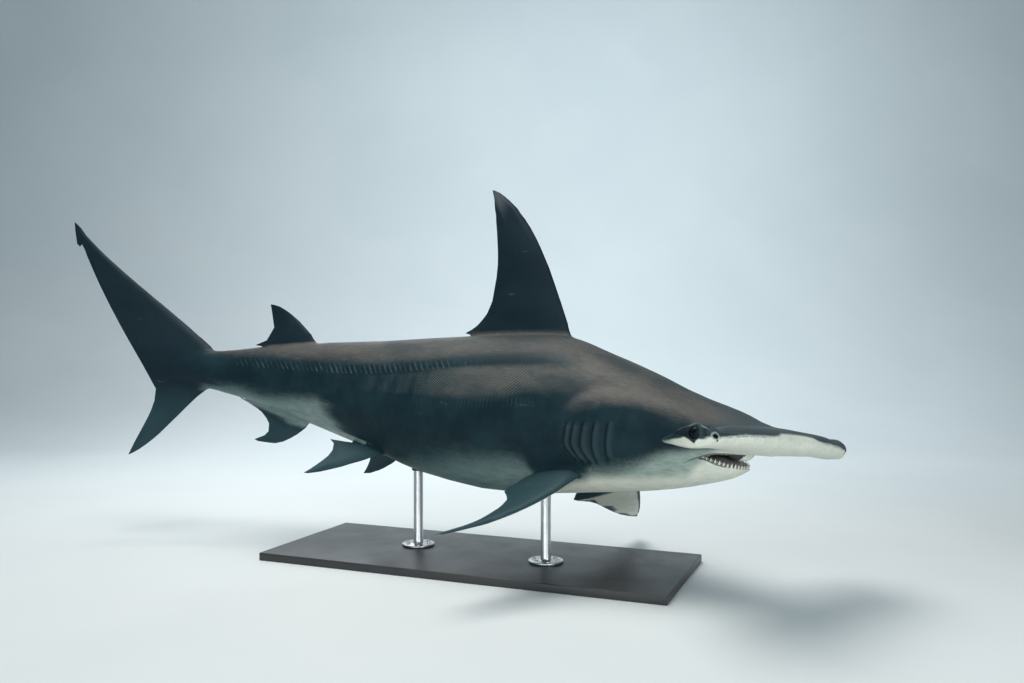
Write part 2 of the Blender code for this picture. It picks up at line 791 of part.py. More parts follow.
def caudal_piece(collection, scratch, material):
    """The tail fin: the end of the tail stalk with an upper and a lower lobe."""
    places = np.linspace(TAIL_END - 0.05, TRUNK[-1][0], 8)
    stalk = mesh_object("caudal_fin", *loft([plain_ring(x) for x in places]), collection, material)
    upper = midline_fin("upper_lobe", CAUDAL_UPPER, scratch, None, 0.0006)
    lower = midline_fin("lower_lobe", CAUDAL_LOWER, scratch, None, -0.0004)
    join_pieces(upper, [terminal_lobe(scratch)])
    join_pieces(stalk, [upper])
    join_pieces(stalk, [lower])
    front = box_piece("stalk_cut", (TAIL_END + GAP / 2 - CUT_SIZE / 2, 0, 0), (CUT_SIZE,) * 3, scratch)
    cut_away(stalk, front)
    return keep_largest(stalk)


def rod_piece(key, foot, top, collection, material):
    """One upright rod with a round foot flange."""
    bpy.ops.mesh.primitive_cylinder_add(
        vertices=ROD_SIDES,
        radius=ROD_RADIUS,
        depth=top - foot[2],
        location=(foot[0], foot[1], (top + foot[2]) / 2),
    )
    rod = bpy.context.object
    rod.name = f"stand_rod_{key}"
    bpy.ops.mesh.primitive_cylinder_add(
        vertices=ROD_SIDES,
        radius=FLANGE_RADIUS,
        depth=FLANGE_THICKNESS,
        location=(foot[0], foot[1], foot[2] + FLANGE_THICKNESS / 2),
    )
    flange = bpy.context.object
    for thing in (rod, flange):
        thing.data.transform(thing.matrix_world)
        thing.matrix_world.identity()
        for owner in list(thing.users_collection):
            owner.objects.unlink(thing)
        collection.objects.link(thing)
    rod.data.materials.append(material)
    return join_pieces(rod, [flange])


def build():
    """Makes every piece, bends the shark and sets it on its stand."""
    clear_scene()
    shark = make_collection("hammerhead_shark")
    scratch = make_collection("cutters")
    back = make_material("skin_back", COLOURS["skin_back"], 0.45)
    fin = make_material("skin_fin", COLOURS["skin_fin"], 0.45)
    eye_black = make_material("eye", COLOURS["eye"], 0.08)
    base_black = make_material("stand", COLOURS["stand"], 0.5)
    steel = make_material("steel", COLOURS["steel"], 0.3, 1.0)

    head = head_piece(shark, scratch, back)
    torso = trunk_piece("torso", HEAD_END + GAP / 2, TORSO_END - GAP / 2, shark, back, gills=True)
    tail = trunk_piece("tail", TORSO_END + GAP / 2, TAIL_END - GAP / 2, shark, back)
    caudal = caudal_piece(shark, scratch, fin)
    eyes = []
    for word, side in (("right", -1), ("left", 1)):
        centre = (EYE_CENTRE[0], side * EYE_CENTRE[1], EYE_CENTRE[2])
        eyes.append(ball(f"eye_{word}", centre, (EYE_RADIUS,) * 3, shark, eye_black))
    fins = {
        "first_dorsal_fin": (midline_fin("first_dorsal_fin", FIRST_DORSAL, shark, fin), torso),
        "second_dorsal_fin": (midline_fin("second_dorsal_fin", SECOND_DORSAL, shark, fin), tail),
        "anal_fin": (midline_fin("anal_fin", ANAL, shark, fin), tail),
    }
    for k, (word, side) in enumerate((("left", 1), ("right", -1))):
        pectoral = paired_fin(
            f"pectoral_fin_{word}",
            PECTORAL,
            PECTORAL_ROOT,
            side,
            PECTORAL_DROOP[k],
            0.0,
            PECTORAL_PITCH[k],
            PECTORAL_SWEEP[k],
            shark,
            fin,
        )
        pelvic = paired_fin(
            f"pelvic_fin_{word}",
            PELVIC,
            PELVIC_ROOT,
            side,
            PELVIC_DROOP[k],
            PELVIC_PITCH,
            PELVIC_PITCH,
            0.0,
            shark,
            fin,
        )
        fins[pectoral.name] = (pectoral, torso)
        fins[pelvic.name] = (pelvic, tail)

    for thing in (head, torso, tail, caudal, *eyes, *(f for f, _ in fins.values())):
        bend_thing(thing)
    for thing, carrier in fins.values():
        cut_away(thing, swollen_copy(carrier, scratch, GAP), "MANIFOLD")
        keep_largest(thing)

    floor_top = BASE_THICKNESS + GAP
    middle = []
    for key, station in ROD_STATIONS.items():
        belly = np.array([[station, 0.0, float(column_of(TRUNK, 2, station))]])
        x, y, z = bend(belly)[0]
        top = z + ROD_INTO_BODY
        rod_piece(key, (x, y, floor_top), top - GAP, shark, steel)
        bpy.ops.mesh.primitive_cylinder_add(
            vertices=ROD_SIDES, radius=ROD_RADIUS + GAP, depth=top, location=(x, y, top / 2)
        )
        cut_away(torso, bpy.context.object)
        middle.append((x, y))
    centre = np.mean(middle, axis=0)
    place = (centre[0], centre[1], BASE_THICKNESS / 2)
    size = (BASE_LENGTH, BASE_WIDTH, BASE_THICKNESS)
    base = box_piece("stand_base", place, size, shark, base_black)
    edge = base.modifiers.new("edge", "BEVEL")
    edge.width = BASE_BEVEL
    edge.segments = 2
    finished_mesh(base)

    things = list(shark.objects)
    low = np.min([np.min([v.co for v in t.data.vertices], axis=0) for t in things], axis=0)
    high = np.max([np.max([v.co for v in t.data.vertices], axis=0) for t in things], axis=0)
    shift = np.array([(low[0] + high[0]) / 2, (low[1] + high[1]) / 2, low[2]])
    for thing in things:
        move_points(thing, lambda p: p - shift)
    for leftover in list(scratch.objects):
        bpy.data.objects.remove(leftover, do_unlink=True)


build()
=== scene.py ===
"""The looks of a life-size great hammerhead shark on a plain display stand.

The shark is shaped straight first: X runs back from the snout, Y to its left and Z up from the
spine line. Its points are then bent along one level arc and set over the stand.
"""

import math
from collections import namedtuple

import bmesh
import bpy
import numpy as np
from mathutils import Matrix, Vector


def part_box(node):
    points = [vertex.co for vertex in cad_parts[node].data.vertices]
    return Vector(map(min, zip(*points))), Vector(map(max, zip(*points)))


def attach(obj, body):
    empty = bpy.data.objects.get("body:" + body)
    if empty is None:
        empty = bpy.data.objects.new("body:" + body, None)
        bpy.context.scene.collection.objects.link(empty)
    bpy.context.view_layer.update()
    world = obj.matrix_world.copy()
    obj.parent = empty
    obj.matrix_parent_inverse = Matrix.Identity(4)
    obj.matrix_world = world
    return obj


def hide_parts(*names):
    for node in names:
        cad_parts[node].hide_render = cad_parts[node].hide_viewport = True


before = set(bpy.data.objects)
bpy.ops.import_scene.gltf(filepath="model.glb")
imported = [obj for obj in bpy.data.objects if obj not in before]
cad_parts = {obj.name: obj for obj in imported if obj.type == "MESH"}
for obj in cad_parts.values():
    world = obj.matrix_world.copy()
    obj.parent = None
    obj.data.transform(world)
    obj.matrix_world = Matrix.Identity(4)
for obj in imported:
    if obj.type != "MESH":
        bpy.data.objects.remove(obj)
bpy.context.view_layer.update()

# Pose of the body.
ARC_RADIUS = 3.7
SNOUT_HEADING = math.radians(27.5)
NOSE_DOWN = math.radians(4.3)
BODY_ROLL = math.radians(4.0)
HEAD_EXTRA_ROLL = math.radians(4.2)
HEAD_ROLL_FADES_AT = 0.75
POSE_REFERENCE = 1.08
SPINE_HEIGHT = 0.6

# Trunk stations: distance from the snout, top, bottom, half width.
TRUNK = (
    (0.11, 0.044, -0.006, 0.02), (0.17, 0.058, -0.042, 0.042), (0.214, 0.068, -0.076, 0.058),
    (0.245, 0.078, -0.1, 0.082), (0.29, 0.09, -0.129, 0.108), (0.36, 0.105, -0.157, 0.138),
    (0.48, 0.136, -0.197, 0.171), (0.62, 0.178, -0.232, 0.203), (0.8, 0.229, -0.268, 0.232),
    (1.02, 0.28, -0.308, 0.248), (1.27, 0.262, -0.331, 0.245), (1.52, 0.234, -0.314, 0.22),
    (1.8, 0.199, -0.252, 0.168), (2.1, 0.167, -0.18, 0.112), (2.38, 0.128, -0.112, 0.069),
    (2.6, 0.095, -0.073, 0.045), (2.76, 0.09, -0.05, 0.027), (2.9, 0.1, 0.01, 0.006),
)
WIDEST_HEIGHT = 0.46
BACK_FULLNESS = 1.95
BELLY_FULLNESS = 2.25
TRUNK_EASING = 0.03
TRUNK_EASING_SPAN = (0.26, 0.3, 2.9, 0.3)
TRUNK_RING_POINTS = 120
TRUNK_STEP = 0.012
REAR_TRUNK_START = 0.5
HEAD_JOINT = 0.55

# Hammer stations: distance out from the middle, leading edge, trailing edge, and how far its top
# and bottom stand from the hammer's own plane.
HAMMER = (
    (0.0, 0.074, 0.42, 0.05, 0.04), (0.07, 0.068, 0.4, 0.046, 0.038),
    (0.15, 0.069, 0.355, 0.042, 0.035), (0.25, 0.08, 0.318, 0.038, 0.032),
    (0.33, 0.095, 0.312, 0.033, 0.032), (0.375, 0.106, 0.318, 0.034, 0.035),
    (0.4, 0.12, 0.294, 0.038, 0.036), (0.416, 0.142, 0.252, 0.029, 0.028),
    (0.424, 0.168, 0.208, 0.008, 0.008),
)
HAMMER_PLANE_FRONT = 0.02
HAMMER_PLANE_SLOPE = -0.17
HAMMER_SECTIONS = 97
HAMMER_CHORD_POINTS = 25
HEAD_FORM_END = 0.7
HEAD_FORM_VOXEL = 0.01
HEAD_FORM_SMOOTHING = 6
HAMMER_REAR = 0.36

# Mouth, seen from the side, from the front of the lips back to the corners.
MOUTH_FRONT = 0.15
MOUTH_CORNER = (0.386, -0.097)
UPPER_LIP = (
    (0.15, -0.035), (0.205, -0.041), (0.25, -0.045), (0.296, -0.051), (0.333, -0.063),
    (0.35, -0.073),
)
LOWER_LIP = ((0.15, -0.091), (0.248, -0.092), (0.278, -0.087), (0.31, -0.081), (0.342, -0.0755))
LIP_GROOVE = 0.0016
MOUTH_HALF_WIDTH = 0.2
PALATE_CENTRE = (0.306, 0.0, -0.076)
PALATE_RADII = (0.056, 0.08, 0.034)
TONGUE_CENTRE = (0.334, 0.0, -0.094)
TONGUE_RADII = (0.069, 0.09, 0.036)
SNOUT_PAD_CENTRE = (0.267, 0.0, -0.048)
SNOUT_PAD_RADII = (0.036, 0.055, 0.021)

# The dark lining, partly the mouth's wet skin and partly painted shade inside the mouth: its front
# in the middle, at this height, swept back outward and sloping up.
LINING_FRONT = 0.254
LINING_FRONT_HEIGHT = -0.052
LINING_SWEEP = 0.62
LINING_SLOPE = 1.2
LINING_TOP = -0.072
LINING_INSET = 0.0012
OFF_LINING = -0.01

# Creases at the mouth's corners, and the jaws.
CREASE_WIDTH = 0.0034
CREASE_START = 0.328
CREASE_REACH = 0.02
CREASE_DEPTH = 0.014
JAW_FRONT = 0.247
JAW_CORNER_BACK = 0.345
JAW_CORNER_OUT = 0.112
GUM_RADIUS = 0.005
GUM_BACK = 0.004
GUM_SUNK = 0.001

# Rows of teeth: count, height, how far the row stands back from the jaw's edge, lean towards the
# front, how much smaller a tooth can be, and seed.
LOWER_ROWS = (
    (23, 0.016, 0.0, 0.22, 0.3, 3), (24, 0.0125, 0.006, -0.1, 0.35, 5),
    (21, 0.0105, 0.012, -0.4, 0.35, 7),
)
UPPER_ROWS = ((24, 0.0085, 0.004, -0.1, 0.3, 8),)

# One tooth, one unit high: heights of its rings, sizes at the foot, and how it is shaped.
TOOTH_LEVELS = (0.0, 0.12, 0.35, 0.6, 0.82, 0.95, 1.0)
TOOTH_HALF_WIDTH = 0.42
TOOTH_HALF_DEPTH = 0.17
TOOTH_HOLLOW = 0.25
TOOTH_CURVE = 0.1
TOOTH_SUNK = 0.12

# Eyes and nostrils on the ends of the hammer.
EYE_CENTRE = (0.163, 0.404, 0.013)
EYE_RADIUS = 0.021
LID_RING_RADIUS = 0.0215
LID_THICKNESS = 0.006
LID_OUT = 0.0085
LID_OPENING = (0.0186, 0.011, 0.0184)
LID_OPENING_SINK = 0.006
SOCKET_GAP = 0.0004
PUPIL_REACH = 0.46
IRIS_REACH = 0.9
NOSTRIL_PITS = (
    (0.119, 0.385, 0.0115, 0.0045), (0.1165, 0.38, 0.0098, 0.0058), (0.114, 0.375, 0.0078, 0.0048),
    (0.1135, 0.369, -0.0005, 0.003),
)
NOSTRIL_PLACE = (0.116, 0.379, 0.009)
NOSTRIL_RIM_RADII = (0.014, 0.016, 0.013)
NOSTRIL_RISE = 0.0011

# Hollows on the hammer: depth, reach of the soft edge in radii, centre and radii.
HOLLOWS = (
    (0.003, 1.5, (0.245, 0.412, -0.004), (0.05, 0.03, 0.014)),
    (0.004, 1.4, (0.103, 0.374, 0.024), (0.024, 0.012, 0.02)),
)

# Hollows on the hammer's top, the second only at its front: depth, distance out and width.
TOP_HOLLOWS = ((0.01, 0.338, 0.034), (0.005, 0.29, 0.04))

# Ridges on the hammer's ends, from the rear corner forward, as places on the left side.
BROW_LINE = (
    (0.316, 0.386, -0.023), (0.287, 0.399, -0.007), (0.266, 0.407, 0.001), (0.246, 0.413, 0.009),
    (0.229, 0.416, 0.017), (0.209, 0.419, 0.025), (0.191, 0.418, 0.031), (0.167, 0.415, 0.035),
    (0.142, 0.408, 0.034), (0.129, 0.4, 0.029), (0.121, 0.388, 0.02),
)
UNDER_LINE = (
    (0.316, 0.386, -0.024), (0.291, 0.397, -0.0285), (0.238, 0.412, -0.0305),
    (0.186, 0.415, -0.031), (0.145, 0.408, -0.026), (0.12, 0.397, -0.014),
)
BROW_RISE = 0.0016

# The hammer's flat ends: where they start, and how far each ring is shrunk and stands inward.
WING_END_START = 0.376
WING_END_RINGS = ((0.018, 0.04), (0.002, 0.012), (0.0, 0.004), (0.0045, 0.0015))

# Edges of the colours on the hammer: the foot of the patch round the eye, back from the snout, and
# the top of the pale underside, out from the middle.
EYE_PATCH_FOOT = (
    (0.11, 0.007), (0.118, 0.004), (0.13, -0.003), (0.145, -0.005), (0.154, -0.011),
    (0.161, -0.0185), (0.17, -0.0135), (0.18, -0.009), (0.194, -0.005), (0.208, -0.002),
    (0.24, -0.0015), (0.265, -0.003), (0.29, -0.01),
)
WING_PALE_EDGE = (
    (0.0, 0.043), (0.085, 0.042), (0.12, 0.034), (0.16, 0.031), (0.19, 0.03), (0.229, 0.027),
    (0.281, 0.023), (0.325, 0.016), (0.362, 0.011), (0.424, 0.004),
)

# Gill slits: distance from the snout at half height, height of the top, height of the bottom, and
# how far forward the foot of the slit bends.
GILL_SLITS = (
    (0.657, 0.01, -0.126, 0.006), (0.709, 0.004, -0.138, 0.014), (0.752, -0.002, -0.148, 0.032),
    (0.79, -0.006, -0.15, 0.04), (0.818, -0.01, -0.146, 0.042),
)
GILL_FLAP_RISE = 0.007
GILL_FLAP_LENGTH = 0.034
GILL_SINK = 0.005
GILL_SINK_LENGTH = 0.018
GILL_CUT_WIDTH = 0.0036
GILL_CUT_DEPTH = 0.016
GILL_CUT_SLANT = 0.01
GILL_CUT_REACH = 0.014
GILL_INNERMOST = 0.08

# Where the crest, the groove and the muscle bands are: start and length of the rise, end and length
# of the fall. Swells beside the first two: height, distance from the line, and width.
CREST_SPAN = (0.34, 0.1, 0.88, 0.07)
GROOVE_SPAN = (0.86, 0.15, 2.55, 0.35)
BANDS_SPAN = (0.88, 0.12, 2.56, 0.2)
CREST_SWELLS = ((0.006, 0.026, 0.03), (-0.003, -0.024, 0.022))
GROOVE_SWELLS = ((-0.0024, 0.0, 0.01), (0.002, 0.042, 0.028))

# Lines along the flank: the crest over the gills, the groove between the muscle bands, the foot of
# the lower band, and the line where the dark back gives way to the pale belly with its softness;
# under the hammer's rear corner and round the pectoral fins' roots that line is lowered, which also
# paints the shade there. Below it the belly turns cream, and it is lightest at the throat.
GILL_CREST = (
    (0.36, 0.07), (0.404, 0.086), (0.475, 0.104), (0.574, 0.113), (0.665, 0.106), (0.724, 0.091),
    (0.791, 0.062), (0.84, 0.01), (0.865, -0.05),
)
FLANK_GROOVE = (
    (0.8, 0.156), (0.906, 0.159), (1.02, 0.156), (1.155, 0.145), (1.289, 0.126), (1.431, 0.107),
    (1.573, 0.084), (1.699, 0.066), (1.826, 0.05), (2.05, 0.042), (2.3, 0.036), (2.6, 0.034),
)
BAND_FOOT = (
    (0.9, 0.07), (1.07, 0.043), (1.202, 0.022), (1.344, 0.012), (1.5, -0.004), (2.6, -0.03),
)
PALE_LINE = (
    (0.11, 0.014), (0.2, 0.0), (0.3, -0.034), (0.358, -0.046), (0.394, -0.058), (0.438, -0.069),
    (0.465, -0.078), (0.493, -0.091), (0.546, -0.113), (0.603, -0.137), (0.681, -0.156),
    (0.722, -0.168), (0.748, -0.19), (0.78, -0.206), (0.92, -0.226), (0.958, -0.212),
    (0.99, -0.176), (1.06, -0.162), (1.186, -0.188), (1.332, -0.21), (1.498, -0.244), (1.6, -0.264),
    (1.66, -0.31), (1.77, -0.31), (1.796, -0.2), (1.816, -0.11), (1.85, -0.066), (1.965, -0.062),
    (2.075, -0.067), (2.185, -0.072), (2.33, -0.076), (2.42, -0.058), (2.5, -0.048), (2.6, -0.056),
    (2.7, -0.09), (2.9, -0.2),
)
PALE_SOFTNESS = (
    (0.11, 0.01), (0.3, 0.014), (0.42, 0.018), (0.55, 0.034), (0.68, 0.046), (0.76, 0.026),
    (0.95, 0.028), (1.06, 0.064), (1.6, 0.052), (1.74, 0.018), (1.86, 0.018), (2.0, 0.034),
    (2.6, 0.036),
)
CREAM_LINE = (
    (0.11, 0.0), (0.2, -0.05), (0.286, -0.112), (0.357, -0.132), (0.487, -0.163), (0.598, -0.18),
    (0.697, -0.192), (0.8, -0.22), (0.886, -0.256), (1.05, -0.315), (1.27, -0.342), (1.52, -0.328),
    (1.8, -0.272), (2.1, -0.2), (2.4, -0.13), (2.7, -0.1),
)
BELLY_LIGHT = (
    (0.11, 1.0), (0.5, 0.8), (0.72, 0.7), (0.9, 0.36), (1.1, 0.16), (1.6, 0.08), (1.8, 0.4),
    (1.86, 0.6), (1.98, 0.5), (2.2, 0.22), (2.6, 0.18),
)

# Fins in their own planes: u runs back along the base and v out to the tip. The edges have two
# control points each, thick is at the root and at the tip, root is how far it is sunk in the body,
# and blunt is how long the tip is.
FIN_ROWS = 72
FIN_CHORD_POINTS = 17
FIN_EDGE = 0.0019
FIN_WEAR = 0.0022
INNER_MARGIN_SHARE = 0.13
Fin = namedtuple(
    "Fin", "origin insertion rear_tip tip lead trail thick root blunt arch", defaults=(0.0,)
)
FIRST_DORSAL = Fin(
    (0.975, 0.278), (1.345, 0.246), (1.457, 0.254), (1.388, 0.833),
    ((1.06, 0.44), (1.19, 0.765)), ((1.27, 0.33), (1.33, 0.58)),
    (0.052, 0.007), (0.0, -0.085), 0.024,
)
SECOND_DORSAL = Fin(
    (2.135, 0.172), (2.31, 0.136), (2.447, 0.129), (2.37, 0.317),
    ((2.2, 0.236), (2.3, 0.32)), ((2.29, 0.165), (2.35, 0.235)),
    (0.024, 0.004), (0.0, -0.045), 0.022,
)
ANAL = Fin(
    (2.12, -0.172), (2.34, -0.116), (2.472, -0.102), (2.386, -0.269),
    ((2.18, -0.24), (2.28, -0.312)), ((2.3, -0.15), (2.27, -0.245)),
    (0.022, 0.004), (0.0, 0.045), 0.008,
)
CAUDAL_UPPER = Fin(
    (2.6, 0.09), (2.79, -0.055), (2.86, -0.095), (3.3, 0.624),
    ((2.76, 0.22), (3.15, 0.44)), ((2.945, 0.038), (3.165, 0.29)),
    (0.046, 0.01), (-0.01, -0.05), 0.01,
)
CAUDAL_LOWER = Fin(
    (2.602, -0.066), (2.83, -0.03), (2.859, -0.085), (2.957, -0.394),
    ((2.71, -0.12), (2.79, -0.3)), ((2.85, -0.18), (2.92, -0.29)),
    (0.034, 0.006), (0.01, 0.05), 0.008,
)
TERMINAL_LOBE = (
    (3.303, 0.618), (3.294, 0.58), (3.283, 0.536), (3.277, 0.514), (3.268, 0.507), (3.26, 0.511),
    (3.256, 0.524), (3.252, 0.548), (3.27, 0.598),
)
TERMINAL_LOBE_THICKNESS = 0.0042
PECTORAL = Fin(
    (-0.005, 0.0), (0.16, 0.0), (0.292, 0.091), (0.2, 0.547),
    ((0.035, 0.167), (0.111, 0.345)), ((0.173, 0.135), (0.218, 0.337)),
    (0.046, 0.007), (0.0, -0.1), 0.01, 0.035,
)
PECTORAL_ROOT = (0.765, 0.185, -0.19)
PELVIC = Fin(
    (0.0, 0.0), (0.165, 0.0), (0.272, 0.01), (0.292, 0.2),
    ((0.09, 0.07), (0.19, 0.17)), ((0.2, 0.018), (0.215, 0.1)),
    (0.024, 0.004), (0.0, -0.055), 0.01,
)
PELVIC_ROOT = (1.695, 0.09, -0.246)

# Fillets of the paired fins, and how far the lines that they follow run past a fin's base.
PECTORAL_FILLET = 0.04
PELVIC_FILLET = 0.026
SEAM_OVERHANG = 0.02
SEAM_OUT = 0.012

# Where the body has the pectoral fins beside it: start and length of
# the rise, end and length of the fall.
PECTORAL_SPAN = (0.72, 0.03, 1.16, 0.03)

# Midline fins with the widths of their fillets, and paired fins with their roots and the droop,
# pitch at the root, pitch and sweep of the left and of the right fin, in degrees.
MIDLINE_FINS = (
    (FIRST_DORSAL, 0.034), (SECOND_DORSAL, 0.02), (ANAL, 0.02), (CAUDAL_UPPER, 0.026),
    (CAUDAL_LOWER, 0.022),
)
PAIRED_FINS = (
    ("pectoral", PECTORAL, PECTORAL_ROOT, (17.7, 0.0, 26.8, 2.1), (15.3, 0.0, 15.3, 7.3)),
    ("pelvic", PELVIC, PELVIC_ROOT, (60, -11, -11, 0), (46, -11, -11, 0)),
)

# Colours, as linear red, green and blue. Each pair is the two ends of a mottle.
TONES = {
    "back": ((0.036, 0.045, 0.047), (0.09, 0.087, 0.081)),
    # The flank tones: the skin's own dark slate, with a painted teal shade for the side away from
    # the light.
    "flank": ((0.0035, 0.0165, 0.023), (0.0085, 0.03, 0.038)),
    "fin": ((0.0045, 0.0145, 0.0225), (0.01, 0.024, 0.033)),
    "dull": ((0.07, 0.128, 0.134), (0.112, 0.178, 0.178)),
    "fair": ((0.235, 0.315, 0.278), (0.365, 0.435, 0.378)),
    "cream": ((0.6, 0.63, 0.54), (0.7, 0.71, 0.62)),
    "iris": ((0.003, 0.006, 0.008), (0.01, 0.02, 0.025)),
}
WING_PALE_SOFTNESS = 0.0042
SKIN_GRAIN_SCALE = 420.0
WORN_SHARE = 0.82

# The dark of the fins, how much paler the pectorals' undersides are, and how far the dark reaches.
FIN_DARK = 2.0
UNDERSIDE_PALER = 3.2
DARK_LIMIT = 3

# How much closer to cream the fins, the face, the pectorals' undersides and all that stands off the
# trunk are, as a height on the belly.
CREAM_ON_FINS = -0.05
CREAM_ON_FACE = 0.07
CREAM_UNDER_FINS = 0.07
CREAM_OFF_TRUNK = -0.06

# The skin's mesh.
SKIN_VOXEL = 0.003
SKIN_TRIANGLES = 172000
SEAM_ROUNDS = 30
HEAD_HOLD_END = 0.42

# How far the triangles of the head, the gills and the seams are kept, and where the gills are.
HEAD_HOLD = 0.75
GILL_HOLD = 0.5
SEAM_HOLD = 0.6
GILL_HOLD_SPAN = (0.55, 0.05, 0.9, 0.04)

# How far and how often the skin is smoothed, before and after its folds are raised.
FIRST_SMOOTHING = (0.5, 2)
LAST_SMOOTHING = (0.35, 2)
SEAM_PULL = 0.6
JOINT_PULL = 0.5
JOINT_REACH = 0.12

# Sides of a small round bar or tooth.
ROUND_SIDES = 12

# Display stand.
ROD_STATIONS = {"front": 1.02, "rear": 1.6}
ROD_RADIUS = 0.019
FLANGE_RADIUS = 0.065
FLANGE_THICKNESS = 0.01
BOLT_CIRCLE = 0.047
BOLT_HEIGHT = 0.0045
PLINTH_BEVEL = 0.004
ROD_IN_BELLY = 0.068
GASKET_RADIUS = 0.0045
GASKET_INSET = 0.003

# A flange's edge: how far in, and how far up from its underside (0) or its top (1). Its collar: how
# far out from the rod, and how far up from the flange.
FLANGE_EDGE = (
    (0.001, 0, 0.0), (0.0, 0, 0.001), (0.0, 1, -0.002), (0.0006, 1, -0.0006), (0.002, 1, 0.0),
)
FLANGE_COLLAR = ((0.007, 0.0), (0.0035, 0.001), (0.0012, 0.0036), (0.0, 0.0075))

# Camera of the photograph, before the model is set over its stand.
CAMERA_PLACE = (1.1676, -3.1745, 0.8621)
CAMERA_TILT = math.radians(-0.197)
CAMERA_HEADING = math.radians(22)
CAMERA_LENS = 31.64

# Backdrop and lights. Each light has its place, target, size, power and tint.
FLOOR_FRONT = -9.0
SWEEP_START = 3.4
SWEEP_RADIUS = 4.0
WALL_HEIGHT = 14.0
BACKDROP_HALF_WIDTH = 16.0
LIGHTS = (
    ("key", (-0.4, -0.3, 4.6), (0.1, 0.0, 0.6), (3.2, 2.4), 205, (1.0, 0.965, 0.91)),
    ("side", (4.2, -3.0, 1.4), (0.9, 0.0, 0.5), (2.4, 1.6), 75, (0.94, 0.98, 1.0)),
    ("low", (0.6, -3.6, 0.25), (0.5, 0.0, 0.5), (3.4, 0.5), 26, (0.94, 0.99, 1.0)),
    ("rim", (-2.8, 3.2, 2.8), (0.0, 0.0, 0.8), (2.6, 1.6), 36, (0.88, 0.95, 1.0)),
    ("wall", (0.5, 2.6, 4.4), (-2.2, 6.8, 2.0), (5.0, 1.5), 210, (0.86, 0.95, 1.0)),
)
SKY_COLOUR = (0.62, 0.76, 0.86, 1)
SKY_STRENGTH = 0.34

FLESH_NODES = (
    "head", "torso", "tail", "caudal_fin", "first_dorsal_fin", "second_dorsal_fin", "anal_fin",
    "pectoral_fin_left", "pectoral_fin_right", "pelvic_fin_left", "pelvic_fin_right",
)


# Curves and the bend.


def smooth_through(points, x):
    """A smooth curve without overshoot through (x, value) points, read at x."""
    xs, ys = (np.array(column, float) for column in zip(*points))
    x = np.clip(np.asarray(x, float), xs[0], xs[-1])
    step = np.diff(xs)
    slope = np.diff(ys) / step
    tangent = np.zeros_like(ys)
    tangent[0], tangent[-1] = slope[0], slope[-1]
    same_way = slope[:-1] * slope[1:] > 0
    weights = 2 * step[1:] + step[:-1], step[1:] + 2 * step[:-1]
    before, after = (np.where(same_way, near, 1) for near in (slope[:-1], slope[1:]))
    blended = (weights[0] + weights[1]) / (weights[0] / before + weights[1] / after)
    tangent[1:-1] = np.where(same_way, blended, 0.0)
    k = np.clip(np.searchsorted(xs, x, side="right") - 1, 0, len(step) - 1)
    t = (x - xs[k]) / step[k]
    return (
        (1 + 2 * t) * (1 - t) ** 2 * ys[k]
        + t * (1 - t) ** 2 * step[k] * tangent[k]
        + t * t * (3 - 2 * t) * ys[k + 1]
        + t * t * (t - 1) * step[k] * tangent[k + 1]
    )


def column_of(stations, column, x):
    """One column of a station table, read smoothly at x."""
    return smooth_through([(row[0], row[column]) for row in stations], x)


def ease(t):
    """0 to 1 with a soft start and end."""
    t = np.clip(t, 0.0, 1.0)
    return t * t * (3 - 2 * t)


def between(x, start, rise, end, fall):
    """1 between start and end, with a soft rise after the one and a soft fall before the other."""
    return ease((x - start) / rise) * ease((end - x) / fall)


def bump_at(value, centre, width):
    """1 at the centre, falling softly to 0 within a few widths."""
    return np.exp(-(((value - centre) / width) ** 2))


def bezier(start, control, end, t):
    """A cubic Bezier curve with two control points, read at the values t."""
    t = np.asarray(t, float)[:, None]
    first, second = (np.array(point, float) for point in control)
    outer = (1 - t) ** 3 * np.array(start) + 3 * t * (1 - t) ** 2 * first
    return outer + 3 * t * t * (1 - t) * second + t**3 * np.array(end)


def columns(*values):
    """Values side by side as the columns of one array. A single number fills its column."""
    return np.stack(np.broadcast_arrays(*values), axis=1)


def bend(points):
    """Straight-body points, N by 3, placed on the swimming arc."""
    back, left, up = np.asarray(points, float).T
    heading = SNOUT_HEADING - back / ARC_RADIUS
    start = SNOUT_HEADING - POSE_REFERENCE / ARC_RADIUS
    level, dip = math.cos(NOSE_DOWN), math.sin(NOSE_DOWN)
    sine, cosine = np.sin(heading), np.cos(heading)
    spine = columns(
        ARC_RADIUS * (sine - np.sin(start)) * level,
        ARC_RADIUS * (cosine - np.cos(start)) * level,
        (back - POSE_REFERENCE) * dip + SPINE_HEIGHT,
    )
    forward = columns(cosine * level, -sine * level, -dip)
    level_left = columns(sine, cosine, 0.0)
    level_up = np.cross(forward, level_left)
    roll = (BODY_ROLL + HEAD_EXTRA_ROLL * ease(1 - back / HEAD_ROLL_FADES_AT))[:, None]
    side = level_left * np.cos(roll) - level_up * np.sin(roll)
    top = level_up * np.cos(roll) + level_left * np.sin(roll)
    return spine + side * left[:, None] + top * up[:, None]


def belly_point(station):
    """Where a rod meets the belly, before the model is set over its stand."""
    return bend([[station, 0.0, float(column_of(TRUNK, 2, station))]])[0]


def shift_to_stand():
    """What is taken from every bent point, so that the rods' middle lies over the base's middle."""
    middle = np.mean([belly_point(station)[:2] for station in ROD_STATIONS.values()], axis=0)
    return np.array([*(middle - (BASE_LOW[:2] + BASE_HIGH[:2]) / 2), 0.0])


BASE_LOW, BASE_HIGH = (np.array(corner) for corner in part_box("stand_base"))
SHIFT = shift_to_stand()


# Meshes.


def linked(name, data):
    """An object in the scene with this mesh, camera or light."""
    thing = bpy.data.objects.new(name, data)
    bpy.context.scene.collection.objects.link(thing)
    return thing


def linked_work(name, work):
    """An object in the scene from mesh work, which is then freed."""
    mesh = bpy.data.meshes.new(name)
    work.to_mesh(mesh)
    work.free()
    return linked(name, mesh)


